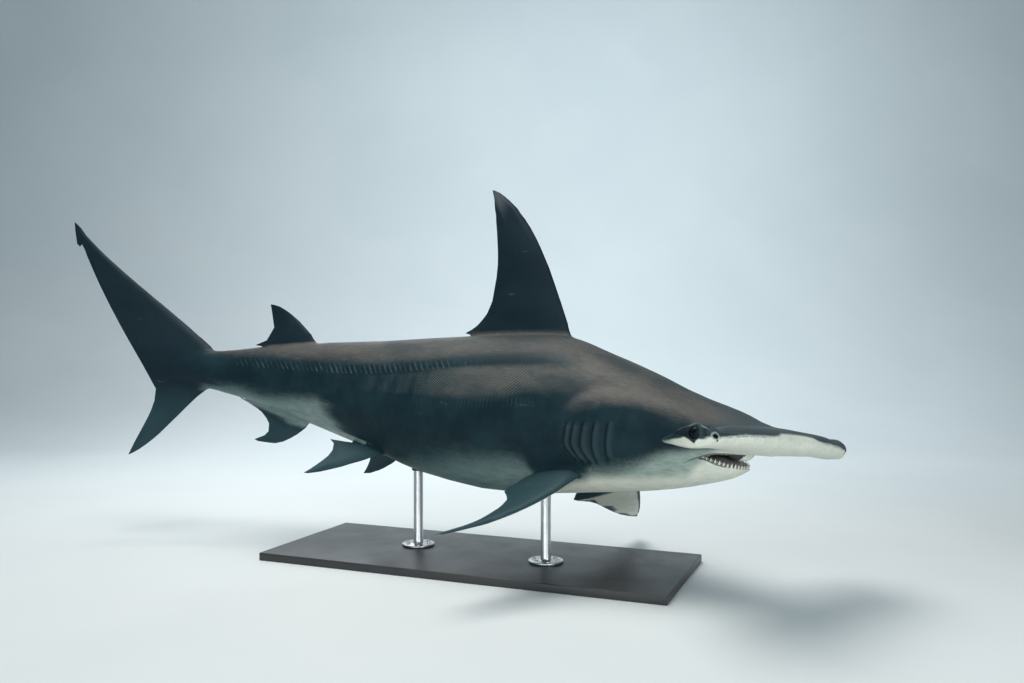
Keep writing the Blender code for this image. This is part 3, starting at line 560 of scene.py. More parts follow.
def lofted(name, rings, closed=False):
    """A skin through rings of equal counts, capped, or closed into a loop, its normals out."""
    count = len(rings[0])
    points = np.concatenate(rings)
    faces = []
    for r in range(len(rings) - (0 if closed else 1)):
        here, there = r * count, (r + 1) % len(rings) * count
        for k in range(count):
            step = (k + 1) % count
            faces.append((here + k, here + step, there + step, there + k))
    if not closed:
        faces.append(tuple(range(count)))
        faces.append(tuple(range(len(points) - count, len(points))))
    rough = bpy.data.meshes.new(name)
    rough.from_pydata([tuple(p) for p in points], [], faces)
    work = bmesh.new()
    work.from_mesh(rough)
    bpy.data.meshes.remove(rough)
    bmesh.ops.recalc_face_normals(work, faces=work.faces)
    if work.calc_volume(signed=True) < 0:
        bmesh.ops.reverse_faces(work, faces=work.faces)
    return linked_work(name, work)


def finished_mesh(thing):
    """Applies a thing's modifiers."""
    graph = bpy.context.evaluated_depsgraph_get()
    graph.update()
    made = bpy.data.meshes.new_from_object(thing.evaluated_get(graph), depsgraph=graph)
    old = thing.data
    thing.modifiers.clear()
    thing.data = made
    bpy.data.meshes.remove(old)
    return thing


def merged(name, things):
    """One object of several meshes, which stay separate shells, and the things removed."""
    work = bmesh.new()
    for thing in things:
        work.from_mesh(thing.data)
        bpy.data.objects.remove(thing, do_unlink=True)
    return linked_work(name, work)


def remeshed(thing, voxel):
    """Replaces all of a thing's shells by one even surface round them."""
    even = thing.modifiers.new("even", "REMESH")
    even.mode = "VOXEL"
    even.voxel_size = voxel
    return finished_mesh(thing)


def cut_away(thing, cutter):
    """Cuts a closed cutter out of a thing and removes the cutter."""
    cut = thing.modifiers.new("cut", "BOOLEAN")
    cut.operation = "DIFFERENCE"
    cut.solver = "MANIFOLD"
    cut.object = cutter
    finished_mesh(thing)
    bpy.data.objects.remove(cutter, do_unlink=True)
    return thing


def points_of(thing, kind="co"):
    """A thing's points, or with kind normal its point normals, N by 3."""
    values = np.empty(len(thing.data.vertices) * 3, np.float32)
    thing.data.vertices.foreach_get(kind, values)
    return values.reshape(-1, 3).astype(float)


def edge_ends(thing):
    """The numbers of the two points of every edge, as two rows."""
    ends = np.empty(len(thing.data.edges) * 2, np.int32)
    thing.data.edges.foreach_get("vertices", ends)
    return ends.reshape(-1, 2).T


def place_points(thing, places):
    """Moves a thing's points."""
    thing.data.vertices.foreach_set("co", np.asarray(places, np.float32).ravel())
    thing.data.update()
    return thing


def bend_thing(thing):
    """Bends a straight thing. Back, left and up are a left-handed set, so its faces are turned."""
    place_points(thing, bend(points_of(thing)) - SHIFT)
    thing.data.flip_normals()
    return thing


def relax(thing, weight, rounds):
    """Moves each point towards the middle of its neighbours by its weight, round after round."""
    places = points_of(thing)
    total = len(places)
    a, b = edge_ends(thing)
    near = np.bincount(a, minlength=total) + np.bincount(b, minlength=total)
    weight = np.broadcast_to(weight, total)
    chosen = weight[a] + weight[b] > 0
    a, b = a[chosen], b[chosen]
    for _ in range(rounds):
        for axis in range(3):
            column = places[:, axis]
            total_a = np.bincount(a, column[b], minlength=total)
            middle = (total_a + np.bincount(b, column[a], minlength=total)) / near
            places[:, axis] = np.where(weight > 0, column + weight * (middle - column), column)
    return place_points(thing, places)


def store(thing, name, values):
    """Keeps a value or a vector for each point under a name that materials read."""
    values = np.asarray(values, np.float32)
    kind, field = ("FLOAT_VECTOR", "vector") if values.ndim == 2 else ("FLOAT", "value")
    attribute = thing.data.attributes.new(name, kind, "POINT")
    attribute.data.foreach_set(field, values.ravel())


def ball(name, centre, radii, segments=64, rings=40):
    """An ellipsoid with its three radii along X, Y and Z."""
    work = bmesh.new()
    bmesh.ops.create_uvsphere(work, u_segments=segments, v_segments=rings, radius=1.0)
    bmesh.ops.scale(work, vec=Vector(radii), verts=work.verts)
    bmesh.ops.translate(work, vec=Vector(centre), verts=work.verts)
    return linked_work(name, work)


def round_angles(count):
    """Angles of equal steps once round."""
    return np.linspace(0, 2 * math.pi, count, endpoint=False)


def tube_along(name, path, radius, closed=False):
    """A round bar along a path, with its ends closed, or closed into a ring."""
    path = np.asarray(path, float)
    before, after = np.roll(path, 1, axis=0), np.roll(path, -1, axis=0)
    if not closed:
        before[0], after[-1] = path[0], path[-1]
    run = after - before
    run /= np.linalg.norm(run, axis=1)[:, None]
    side = np.cross(run, np.linalg.svd(path - path.mean(axis=0))[2][2])
    side /= np.linalg.norm(side, axis=1)[:, None]
    over = np.cross(run, side)
    angle = round_angles(ROUND_SIDES)[:, None]
    rings = [
        place + radius * (np.cos(angle) * side[k] + np.sin(angle) * over[k])
        for k, place in enumerate(path)
    ]
    return lofted(name, rings, closed)


def ring_path(centre, radius, across, count=48):
    """Points round a circle that lies across the axis X, Y or Z, named by 0, 1 or 2."""
    angle = round_angles(count)
    path = np.tile(np.asarray(centre, float), (count, 1))
    first, second = (k for k in range(3) if k != across)
    path[:, first] += radius * np.cos(angle)
    path[:, second] += radius * np.sin(angle)
    return path


def turned(name, profile, foot=(0, 0, 0), segments=72):
    """A solid of revolution about the upright through foot, from (radius, height) points."""
    x, y, z = foot
    return lofted(name, [ring_path((x, y, z + up), radius, 2, segments) for radius, up in profile])


# The shark's forms, straight.


def trunk_sizes(x):
    """Top, bottom, half width and widest height of the trunk at x, eased between stations."""
    x = np.asarray(x, float)
    reach = TRUNK_EASING * between(x, *TRUNK_EASING_SPAN)
    top, bottom, half = (
        np.mean([column_of(TRUNK, column, x + k * reach) for k in (-1, -0.5, 0, 0.5, 1)], axis=0)
        for column in (1, 2, 3)
    )
    return top, bottom, half, bottom + WIDEST_HEIGHT * (top - bottom)


def trunk_ring(x):
    """A flat ring of the trunk at x."""
    angle = round_angles(TRUNK_RING_POINTS)
    top, bottom, half, middle = trunk_sizes(x)
    c, s = np.cos(angle), np.sin(angle)
    power = 2 / np.where(s >= 0, BACK_FULLNESS, BELLY_FULLNESS)
    across = half * np.sign(c) * np.abs(c) ** power
    reach = np.where(s >= 0, top - middle, middle - bottom)
    up = middle + reach * np.sign(s) * np.abs(s) ** power
    return columns(x, across, up)


def trunk_form(name, start, end):
    """A closed length of the trunk."""
    places = np.linspace(start, end, round((end - start) / TRUNK_STEP) + 1)
    return lofted(name, [trunk_ring(x) for x in places])


def trunk_side(x, up):
    """The trunk's half width, how far up is from its widest height, reach and fullness there."""
    top, bottom, half, middle = trunk_sizes(x)
    above = up >= middle
    reach = np.where(above, top - middle, middle - bottom)
    return half, up - middle, reach, np.where(above, BACK_FULLNESS, BELLY_FULLNESS)


def above_trunk(points):
    """How far each point stands out from the trunk, along the ray from the trunk's middle line."""
    x = np.clip(points[:, 0], TRUNK[0][0], TRUNK[-1][0])
    half, up, reach, power = trunk_side(x, points[:, 2])
    size = (np.abs(points[:, 1] / half) ** power + np.abs(up / reach) ** power) ** (1 / power)
    return np.hypot(points[:, 1], up) * (1 - 1 / np.maximum(size, 1e-3))


def flank_width(x, height):
    """How far the trunk's side stands out from the middle at a place x and a height."""
    half, up, reach, power = trunk_side(x, height)
    share = np.clip(np.abs(up / reach), 0, 0.999)
    return float(half * (1 - share**power) ** (1 / power))


def foil(share):
    """Half thickness of a rounded-front, thin-backed section, 1 at its thickest."""
    front = 0.2969 * np.sqrt(share) - 0.126 * share - 0.3516 * share**2
    return (front + 0.2843 * share**3 - 0.1015 * share**4) / 0.05 * 0.5


def chord_shares(count):
    """Places along a section from 0 to 1, closer together at its ends."""
    return (1 - np.cos(np.linspace(0, math.pi, count))) / 2


def hammer_plane(back):
    """Height of the hammer's own plane."""
    return HAMMER_PLANE_FRONT + HAMMER_PLANE_SLOPE * (back - HAMMER[0][1])


def hammer_form():
    """The hammer: foil sections from the right end to the left end."""
    turn = np.linspace(-math.pi / 2, math.pi / 2, HAMMER_SECTIONS)
    share = chord_shares(HAMMER_CHORD_POINTS)
    half = np.maximum(foil(share), 0.02)
    rings = []
    for out in HAMMER[-1][0] * np.sin(turn):
        lead, trail, above, below = (column_of(HAMMER, k, abs(out)) for k in (1, 2, 3, 4))
        back = lead + (trail - lead) * share
        plane = hammer_plane(back)
        upper, lower = (columns(back, out, plane + rise * half) for rise in (above, -below))
        rings.append(np.concatenate([upper, lower[::-1]]))
    return lofted("hammer", rings)


def lip_heights(x):
    """Heights of the upper and the lower lip line at x."""
    upper = smooth_through((*UPPER_LIP, MOUTH_CORNER), x)
    lower = smooth_through((*LOWER_LIP, MOUTH_CORNER), x)
    return np.maximum(upper, lower + LIP_GROOVE), lower


def lip_lens():
    """The space between the lips: a lens seen from the side, drawn out across the head."""
    x = np.linspace(MOUTH_FRONT, MOUTH_CORNER[0], 41)
    upper, lower = lip_heights(x)
    outline = [*zip(x, upper), *zip(x[::-1], lower[::-1])]
    width = MOUTH_HALF_WIDTH
    return lofted("lip_lens", [np.array([(a, y, b) for a, b in outline]) for y in (-width, width)])


def head_form():
    """Trunk front and hammer blended into one soft form, with its mouth cut."""
    form = merged("head_form", [trunk_form("front", TRUNK[0][0], HEAD_FORM_END), hammer_form()])
    remeshed(form, HEAD_FORM_VOXEL)
    soften = form.modifiers.new("soften", "SMOOTH")
    soften.factor = 0.5
    soften.iterations = HEAD_FORM_SMOOTHING
    finer = form.modifiers.new("finer", "SUBSURF")
    finer.levels = finer.render_levels = 2
    finished_mesh(form)
    cut_away(form, lip_lens())
    return cut_away(form, ball("palate", PALATE_CENTRE, PALATE_RADII, 48, 24))


def wing_ends():
    """The hammer's flat ends, drawn out to the brow, the rear corner and the lower edge."""
    outline = np.array([*BROW_LINE, *UNDER_LINE[:0:-1]])
    middle = outline.mean(axis=0)
    ends = []
    for side in (-1, 1):
        rings = []
        for shrink, inward in WING_END_RINGS:
            ring = outline.copy()
            away = ring[:, (0, 2)] - middle[[0, 2]]
            ring[:, (0, 2)] -= away / np.linalg.norm(away, axis=1)[:, None] * shrink
            ring[:, 1] = side * (ring[:, 1] - inward)
            rings.append(ring)
        ends.append(lofted("wing_end", rings))
    return ends


def eye_place(side, further_out=0.0):
    """The middle of the eye on one side, or a place straight out from it."""
    x, out, z = EYE_CENTRE
    return np.array((x, side * (out + further_out), z))


def lid_ring(side):
    """The swelling of skin round one eye."""
    path = ring_path(eye_place(side, LID_OUT), LID_RING_RADIUS, 1)
    return tube_along("lid_ring", path, LID_THICKNESS, closed=True)


def fin_sections(shape):
    """Rings of a fin in its own plane, as (u, v, thickness) points, from buried root to tip."""
    along = np.concatenate([[0.0], np.linspace(0, 1, FIN_ROWS) ** 0.9])
    origin, insertion, rear_tip, tip, root = map(np.array, (*shape[:4], shape.root))
    lead = bezier(origin, shape.lead, tip, along)
    outer = np.clip((along - INNER_MARGIN_SHARE) / (1 - INNER_MARGIN_SHARE), 0, 1)
    trail = bezier(rear_tip, shape.trail, tip, outer)
    inner = np.clip(along / INNER_MARGIN_SHARE, 0, 1)[:, None]
    on_inner = along < INNER_MARGIN_SHARE
    trail[on_inner] = (insertion + (rear_tip - insertion) * inner)[on_inner]
    lead[0] = origin + root
    trail[0] = insertion + root
    share = chord_shares(FIN_CHORD_POINTS)
    root_thick, tip_thick = shape.thick
    chance = np.random.default_rng(len(along) + int(1000 * shape.tip[0]))
    wear = FIN_WEAR * chance.uniform(0, 1, len(along)) ** 3 * ease((along - 0.15) * 6)
    rings = []
    for k, t in enumerate(along):
        span = np.linalg.norm(trail[k] - lead[k])
        thick = min(root_thick + (tip_thick - root_thick) * t**0.8, 0.3 * span + 0.002)
        half = np.maximum(thick / 2 * foil(share), FIN_EDGE * np.clip(share * 6, 0.3, 1))
        worn = share * (1 - wear[k] / max(span, 0.02))
        chord = lead[k] + (trail[k] - lead[k]) * worn[:, None]
        if k == len(along) - 1:
            chord = tip + np.array([[shape.blunt, 0.0]]) * (share - 0.5)[:, None]
        upper = np.concatenate([chord, half[:, None]], axis=1)
        rings.append(np.concatenate([upper, (upper * (1, 1, -1))[::-1]]))
    return rings


def paired_fin(name, shape, root, side, droop, root_pitch, pitch, sweep):
    """A fin on one side, drooping outward in a slight arch, its rear edge pitched down or up."""
    rings = []
    for ring in fin_sections(shape):
        u, v, w = ring.T
        turned_u = u * math.cos(sweep) + v * math.sin(sweep) * (v > 0)
        swept_v = v * math.cos(sweep) - u * math.sin(sweep) * ease(v / 0.2)
        turned_v = np.where(v > 0, swept_v, v)
        angle = root_pitch + (pitch - root_pitch) * ease((turned_v + 0.02) / 0.12)
        sink = turned_u * np.sin(angle) - w * np.cos(angle)
        back = turned_u * np.cos(angle) + w * np.sin(angle)
        out = turned_v * math.cos(droop) + sink * -math.sin(droop)
        up = -turned_v * math.sin(droop) - sink * math.cos(droop)
        up -= shape.arch * np.sin(math.pi * np.clip(v / shape.tip[1], 0, 1))
        rings.append(columns(root[0] + back, side * (root[1] + out), root[2] + up))
    return lofted(name, rings)


def fin_forms():
    """Every fin as its own closed form."""
    half = TERMINAL_LOBE_THICKNESS / 2
    lobe = [np.array([(x, y, z) for x, z in TERMINAL_LOBE]) for y in (-half, half)]
    forms = [
        lofted("midline_fin", [ring[:, (0, 2, 1)] for ring in fin_sections(shape)])
        for shape, _ in MIDLINE_FINS
    ]
    forms.append(lofted("terminal_lobe", lobe))
    for k, side in enumerate((1, -1)):
        for name, shape, root, *turns in PAIRED_FINS:
            forms.append(paired_fin(name, shape, root, side, *map(math.radians, turns[k])))
    return forms


# The skin: seams, folds and cuts.


def on_left(points):
    """The points with those of the right side mirrored to the left."""
    return columns(points[:, 0], np.abs(points[:, 1]), points[:, 2])


def distance_to_line(points, line):
    """Distance to a chain of straight runs on the left side, and the place along it, 0 to 1."""
    points = on_left(points)
    line = np.asarray(line, float)
    best = np.full(len(points), np.inf)
    along = np.zeros(len(points))
    for k in range(len(line) - 1):
        run = line[k + 1] - line[k]
        t = np.clip((points - line[k]) @ run / (run @ run), 0, 1)
        away = np.linalg.norm(points - line[k] - t[:, None] * run, axis=1)
        closer = away < best
        best[closer] = away[closer]
        along[closer] = ((k + t) / (len(line) - 1))[closer]
    return best, along


def share_of_ball(points, centre, radii):
    """Distance from a place on both sides of the head, in radii of an ellipsoid round it."""
    return np.linalg.norm((on_left(points) - centre) / radii, axis=1)


def fin_seams():
    """The line on the body along which each fin grows, and how wide its fillet is."""
    seams = []
    for shape, width in MIDLINE_FINS:
        (a, b), (c, d) = shape.origin, shape.insertion
        seams.append((((a - SEAM_OVERHANG, 0, b), (c + SEAM_OVERHANG, 0, d)), width))
    x, out, up = PECTORAL_ROOT
    out += SEAM_OUT
    end = x + PECTORAL.insertion[0] + SEAM_OVERHANG
    seams.append((((x - 0.01, out, up), (end, out, up)), PECTORAL_FILLET))
    x, out, up = PELVIC_ROOT
    end = x + PELVIC.insertion[0]
    seams.append((((x, out, up + 0.01), (end, out, up - 0.01)), PELVIC_FILLET))
    return seams


def seam_weights(points):
    """1 where a fin grows from the body, 0 away from it."""
    weight = np.zeros(len(points))
    for line, width in fin_seams():
        away, _ = distance_to_line(points, line)
        weight = np.maximum(weight, ease(1.6 - away / width))
    return weight


def gill_line(slit, up):
    """Distance from the snout along a slit, and how open the slit is, at the heights up."""
    middle, top, bottom, foot = slit
    share = (up - bottom) / (top - bottom)
    x = middle - foot * ease(1 - 2.2 * share) - 0.12 * foot * ease(2 * share - 1)
    openness = ease(share * 6) * ease((1 - share) * 6)
    return x, np.where((share > 0) & (share < 1), openness, 0.0)


def folds(points):
    """How far each point is raised or sunk along its normal by the folds of the skin."""
    x, y, z = points.T
    out = np.abs(y)
    on_trunk = ease((0.03 - above_trunk(points)) / 0.012)
    rise = np.zeros(len(points))
    for line, down, place, swells in (
        (GILL_CREST, -1, CREST_SPAN, CREST_SWELLS),
        (FLANK_GROOVE, 1, GROOVE_SPAN, GROOVE_SWELLS),
    ):
        fade = between(x, *place) * on_trunk
        away = down * (z - smooth_through(line, x))
        for height, middle, width in swells:
            rise += fade * height * bump_at(away, middle, width)

    for slit in GILL_SLITS:
        line, openness = gill_line(slit, z)
        behind = x - line
        flap = ease(1 + behind / GILL_FLAP_LENGTH) * (behind <= 0)
        sink = ease(1 - behind / GILL_SINK_LENGTH) * (behind > 0)
        lift = GILL_FLAP_RISE * flap**1.5 - GILL_SINK * sink
        rise += openness * on_trunk * (out > GILL_INNERMOST) * lift

    brow, along = distance_to_line(points, BROW_LINE)
    rise += BROW_RISE * bump_at(brow, 0.0, 0.004) * ease(along * 8) * ease((1 - along) * 6)
    for depth, reach, centre, radii in HOLLOWS:
        rise -= depth * ease(reach - share_of_ball(points, centre, radii))
    rim = share_of_ball(points, NOSTRIL_PLACE, NOSTRIL_RIM_RADII)
    rise += NOSTRIL_RISE * ease(1.6 - rim) * ease((rim - 0.25) / 0.5)
    top_side = ease((z - hammer_plane(x) - 0.006) / 0.012) * ease((0.3 - x) / 0.05)
    for (depth, place, width), fade in zip(TOP_HOLLOWS, (1, ease((0.14 - x) / 0.03))):
        rise -= depth * bump_at(out, place, width) * top_side * fade
    return rise


def slit_ring(side, outer, inner, mouth, foot):
    """A section of a slit: two (x, z) places outside the skin and two inside it."""
    ring = [(x, side * outer, z) for x, z in mouth] + [(x, side * inner, z) for x, z in foot]
    return np.array(ring)


def gill_cutter(side, slit):
    """What cuts one gill slit."""
    up = np.linspace(slit[2] + 0.002, slit[1] - 0.002, 26)
    rings = []
    for x, z, openness in zip(gill_line(slit, up)[0], up, gill_line(slit, up)[1]):
        width = GILL_CUT_WIDTH * (0.25 + 0.75 * openness)
        depth = GILL_CUT_DEPTH * (0.3 + 0.7 * openness)
        out = flank_width(x, z)
        mouth = ((x - 0.3 * width, z), (x + 1.3 * width, z))
        foot = ((x + width - GILL_CUT_SLANT, z), (x - GILL_CUT_SLANT, z))
        rings.append(slit_ring(side, out + GILL_CUT_REACH, out - depth, mouth, foot))
    return lofted("gill_slit", rings)


def crease_cutter(side):
    """What cuts the crease at one corner of the mouth."""
    rings = []
    for x in np.linspace(CREASE_START, MOUTH_CORNER[0] + 0.006, 14):
        middle = sum(lip_heights(x)) / 2
        half = CREASE_WIDTH * (0.35 + 0.65 * float(ease((MOUTH_CORNER[0] - x) / 0.03))) / 2
        out = flank_width(x, middle)
        pair = ((x, middle + half), (x, middle - half))
        outer, inner = out + CREASE_REACH, out - CREASE_DEPTH
        rings.append(slit_ring(side, outer, inner, pair, pair[::-1]))
    return lofted("mouth_crease", rings)


def skin_cutters():
    """Slits of the gills, creases at the mouth's corners, nostrils and eye openings."""
    cutters = []
    for side in (-1, 1):
        cutters += [gill_cutter(side, slit) for slit in GILL_SLITS]
        cutters.append(crease_cutter(side))
        for x, out, z, radius in NOSTRIL_PITS:
            radii = (1.3 * radius, radius, radius)
            cutters.append(ball("nostril", (x - 0.002, side * out, z), radii, 20, 12))
        cutters.append(ball("socket", eye_place(side), (EYE_RADIUS + SOCKET_GAP,) * 3))
        place = eye_place(side, EYE_RADIUS - LID_OPENING_SINK)
        cutters.append(ball("lid_opening", place, LID_OPENING, 48, 30))
    return cutters


def keep_largest(thing):
    """Keeps only the largest closed surface."""
    a, b = edge_ends(thing)
    label = np.arange(len(thing.data.vertices))
    while True:
        lowest = np.minimum(label[a], label[b])
        before = label.copy()
        np.minimum.at(label, a, lowest)
        np.minimum.at(label, b, lowest)
        label = label[label]
        if (label == before).all():
            break
    names, counts = np.unique(label, return_counts=True)
    loose = np.nonzero(label != names[np.argmax(counts)])[0]
    if len(loose):
        work = bmesh.new()
        work.from_mesh(thing.data)
        work.verts.ensure_lookup_table()
        bmesh.ops.delete(work, geom=[work.verts[k] for k in loose], context="VERTS")
        work.to_mesh(thing.data)
        work.free()
    return thing


def thin_out(thing):
    """Takes triangles away where the surface is plain, and keeps them on the head."""
    points = points_of(thing)
    x = points[:, 0]
    head = ease((HEAD_HOLD_END - x) / 0.1)
    gills = between(x, *GILL_HOLD_SPAN) * GILL_HOLD
    gills = np.maximum(gills, SEAM_HOLD * seam_weights(points))
    group = thing.vertex_groups.new(name="thin")
    levels = np.round(1 - np.maximum(head * HEAD_HOLD, gills), 2)
    for level in np.unique(levels):
        group.add(np.nonzero(levels == level)[0].tolist(), float(level), "REPLACE")
    thin = thing.modifiers.new("thin", "DECIMATE")
    thin.ratio = min(1.0, SKIN_TRIANGLES / (2 * len(thing.data.polygons)))
    thin.vertex_group = group.name
    thin.vertex_group_factor = 1.0
    finished_mesh(thing)
    thing.vertex_groups.clear()
    return thing


def skin():
    """The whole skin, straight: forms fused, seams filled, folds raised, slits cut."""
    forms = [head_form(), ball("snout_pad", SNOUT_PAD_CENTRE, SNOUT_PAD_RADII, 48, 24)]
    forms += [*wing_ends(), lid_ring(-1), lid_ring(1)]
    forms += [trunk_form("trunk", REAR_TRUNK_START, TRUNK[-1][0]), *fin_forms()]
    thing = remeshed(merged("shark_skin", forms), SKIN_VOXEL)
    keep_largest(thing)
    relax(thing, *FIRST_SMOOTHING)
    relax(thing, SEAM_PULL * seam_weights(points_of(thing)), SEAM_ROUNDS)
    places = points_of(thing)
    joint = ease(1 - np.abs(places[:, 0] - HEAD_JOINT) / JOINT_REACH)
    joint *= ease((0.05 - above_trunk(places)) / 0.02)
    relax(thing, JOINT_PULL * joint, SEAM_ROUNDS // 2)
    places = points_of(thing)
    place_points(thing, places + points_of(thing, "normal") * folds(places)[:, None])
    relax(thing, *LAST_SMOOTHING)
    thin_out(thing)
    for cutter in skin_cutters():
        cut_away(thing, cutter)
    return keep_largest(thing)


# Markings, painted light and painted shade that the skin keeps for its material.


def dark_and_pale(points, normals, finned):
    """How far a point lies in the dark: 1 well above the pale belly's edge, -1 well below it."""
    x, y, z = points.T
    out = np.abs(y)
    body = (z - smooth_through(PALE_LINE, x)) / smooth_through(PALE_SOFTNESS, x)
    lead = column_of(HAMMER, 1, np.minimum(out, HAMMER[-1][0]))
    behind = ease((x - lead - 0.014) / 0.05)
    edge = smooth_through(WING_PALE_EDGE, out) * (1 - behind)
    edge += (hammer_plane(x) - 0.004) * behind
    on_wing = np.maximum(ease((out - 0.15) / 0.05) * (x < HAMMER_REAR), ease((0.145 - x) / 0.04))
    shade = body * (1 - on_wing) + (z - edge) / WING_PALE_SOFTNESS * on_wing

    pectoral = between(x, *PECTORAL_SPAN) * (z < -0.1) * (out > 0.19)
    margin = ease((0.5 - (out - PECTORAL_ROOT[1])) / 0.1)
    fin_shade = FIN_DARK - UNDERSIDE_PALER * pectoral * facing_down(normals) * margin
    return np.clip(shade, -DARK_LIMIT, DARK_LIMIT) * (1 - finned) + fin_shade * finned


def facing_down(normals):
    """1 on the undersides of the fins, 0 on their tops and edges."""
    return ease((-normals[:, 2] - 0.48) / 0.3)


def eye_patch(points):
    """Height over the lower edge of the dark patch round the eye, in metres."""
    x, y, z = points.T
    brow = smooth_through([(p[0], p[2]) for p in sorted(BROW_LINE)], x)
    patch = np.minimum(z - smooth_through(EYE_PATCH_FOOT, x), brow + 0.004 - z)
    patch = np.minimum(np.minimum(patch, np.abs(y) - WING_END_START), (x - 0.124) * 0.35)
    return np.where(x < 0.33, patch, -0.05)


def mouth_lining(points, normals):
    """Above 0 inside the lips, in metres, where the skin is painted dark for the shade inside the
    mouth.
    """
    x, y, z = points.T
    out = np.abs(y)
    upper, lower = lip_heights(x)
    lips = np.minimum(upper - z, z - lower) - LINING_INSET
    between_lips = (x > 0.2) & (x < MOUTH_CORNER[0]) & (out < 0.16)
    lips = np.where(between_lips, lips, OFF_LINING)
    radii = np.array(PALATE_RADII) * 1.02
    in_cavity = np.linalg.norm((points - PALATE_CENTRE) / radii, axis=1) < 1
    inside = in_cavity & ((z > lower) | (normals[:, 2] > 0.3))
    front = LINING_FRONT - LINING_SWEEP * out - LINING_SLOPE * (z - LINING_FRONT_HEIGHT)
    behind_front = (z < LINING_TOP) | (x > front)
    lining_shade = np.maximum(lips, np.where(inside, 0.004, OFF_LINING))
    return np.where(behind_front, lining_shade, OFF_LINING)


def warm_back(x, z, height, finned):
    """Where the skin is brown, not slate: the back, the crest and the band below the groove; partly
    the skin's own brown, partly painted sunlight on the surfaces lit from above.
    """
    crest = smooth_through(GILL_CREST, x)
    front = ease((z - crest + 0.075) / 0.06) * ease((height + 0.1) / 0.3)
    front *= 1 - 0.75 * bump_at(x, 0.86, 0.1) * ease((0.16 - z) / 0.05)
    groove = smooth_through(FLANK_GROOVE, x)
    above = ease((z - groove - 0.018) / 0.07)
    foot = smooth_through(BAND_FOOT, x)
    below = between(z, foot - 0.006, 0.03, groove + 0.004, 0.006)
    below *= 0.75 * ease((1.66 - x) / 0.4)
    ahead = ease((0.98 - x) / 0.2)
    return (front * ahead + np.maximum(above, below) * (1 - ahead)) * (1 - finned)


def gill_tints(points):
    """The shadow behind each slit and at its foot, and the light on each flap's edge."""
    x, y, z = points.T
    shadow, light = np.zeros(len(x)), np.zeros(len(x))
    for slit in GILL_SLITS:
        line, openness = gill_line(slit, z)
        shadow = np.maximum(shadow, openness * bump_at(x - line, 0.0035, 0.0055))
        light = np.maximum(light, openness * bump_at(x - line, -0.013, 0.009))
        foot_x, _ = gill_line(slit, np.array([slit[2] + 0.004]))
        away = np.hypot((x - foot_x[0]) / 0.006, (z - slit[2] - 0.003) / 0.01)
        shadow = np.maximum(shadow, ease(1.5 - away))
    outside = np.abs(y) > GILL_INNERMOST
    return shadow * outside, light * outside


def skin_marks(thing):
    """Keeps the straight places and the masks of the markings and of the painted light and shade on
    the skin, for its material.
    """
    points, normals = points_of(thing), points_of(thing, "normal")
    x, y, z = points.T
    out = np.abs(y)
    top, _, _, middle = trunk_sizes(x)
    beyond = above_trunk(points)
    low_root = np.where((z < -0.05) & (x > 2.0), 0.04, 0.014)
    root_fade = np.where((z > 0.1) & (x < 1.5), 0.03, low_root)
    finned = ease((beyond - 0.003) / root_fade) * (x > 0.72)
    finned = np.maximum(finned, ease((x - 2.62) / 0.1))
    height = np.clip((z - middle) / (top - middle), -1, 1)
    brow, along = distance_to_line(points, BROW_LINE)
    under, _ = distance_to_line(points, np.array(UNDER_LINE) - (0, 0.006, 0.009))
    lead = column_of(HAMMER, 1, np.clip(out, 0, HAMMER[-1][0]))
    shadow, light = gill_tints(points)
    cream = (smooth_through(CREAM_LINE, x) - z) * (1 - finned) + CREAM_ON_FINS * finned
    face = np.maximum(ease((0.4 - x) / 0.13), ease((out - 0.17) / 0.04) * (x < HAMMER_REAR))
    cream += CREAM_ON_FACE * face
    cream += CREAM_UNDER_FINS * finned * ease((1.16 - x) / 0.03) * facing_down(normals)
    cream += CREAM_OFF_TRUNK * ease((beyond - 0.001) / 0.004) * (x > 1.2)
    pits = np.min([share_of_ball(points, pit[:3], pit[3]) for pit in NOSTRIL_PITS], axis=0)
    patch = eye_patch(points)
    streak = bump_at(x - 0.5 * z, 0.132, 0.01) * ease((patch - 0.001) / 0.006) * (out > 0.3)
    store(thing, "straight", points)
    for name, values in {
        "shade": dark_and_pale(points, normals, finned),
        "cream": cream,
        "finned": finned,
        # Partly the skin's own brown, partly painted sunlight where the light falls from above.
        "brown_and_sunlight": warm_back(x, z, height, finned),
        "patch": patch,
        "patch_light": streak,
        "belly_light": smooth_through(BELLY_LIGHT, x),
        # Painted light: fins below the body are painted lighter, for the light thrown up from the
        # floor.
        "low_fin_bounce": finned * ease((-0.05 - z) / 0.16),
        "head_top": ease((0.42 - x) / 0.22) * ease((normals[:, 2] - 0.1) / 0.4),
        "wing_face": between(out, 0.13, 0.05, WING_END_START, 0.01) * (x < HAMMER_REAR),
        "lining_shade": mouth_lining(points, normals),
        "above_groove": z - smooth_through(FLANK_GROOVE, x),
        "above_foot": z - smooth_through(BAND_FOOT, x),
        "bands": (1 - finned) * ease((0.02 - beyond) / 0.01) * between(x, *BANDS_SPAN),
        "gill_shadow": shadow,
        "gill_light": light,
        # Painted highlight: a thin pale line along the crest of the brow ridge.
        "brow": bump_at(brow, 0.0, 0.003) * ease((1 - along) * 4),
        # Painted shadow: a dark band on the cheek just under the hammer's lower edge.
        "under_wing_shadow": bump_at(under, 0.0, 0.009) * ease((x - 0.17) / 0.05),
        "front_edge": bump_at(x - lead, 0.03, 0.045) * (x < 0.32) * ease((out - 0.04) / 0.1),
        # Painted shade: the nostril pits and their edges painted near black.
        "nostril": ease(1.9 - pits),
        "nostril_rim": between(pits, 1.2, 0.5, 2.5, 0.6) * (z > 0),
    }.items():
        store(thing, name, values)


# Teeth, gums and other small repeated pieces.


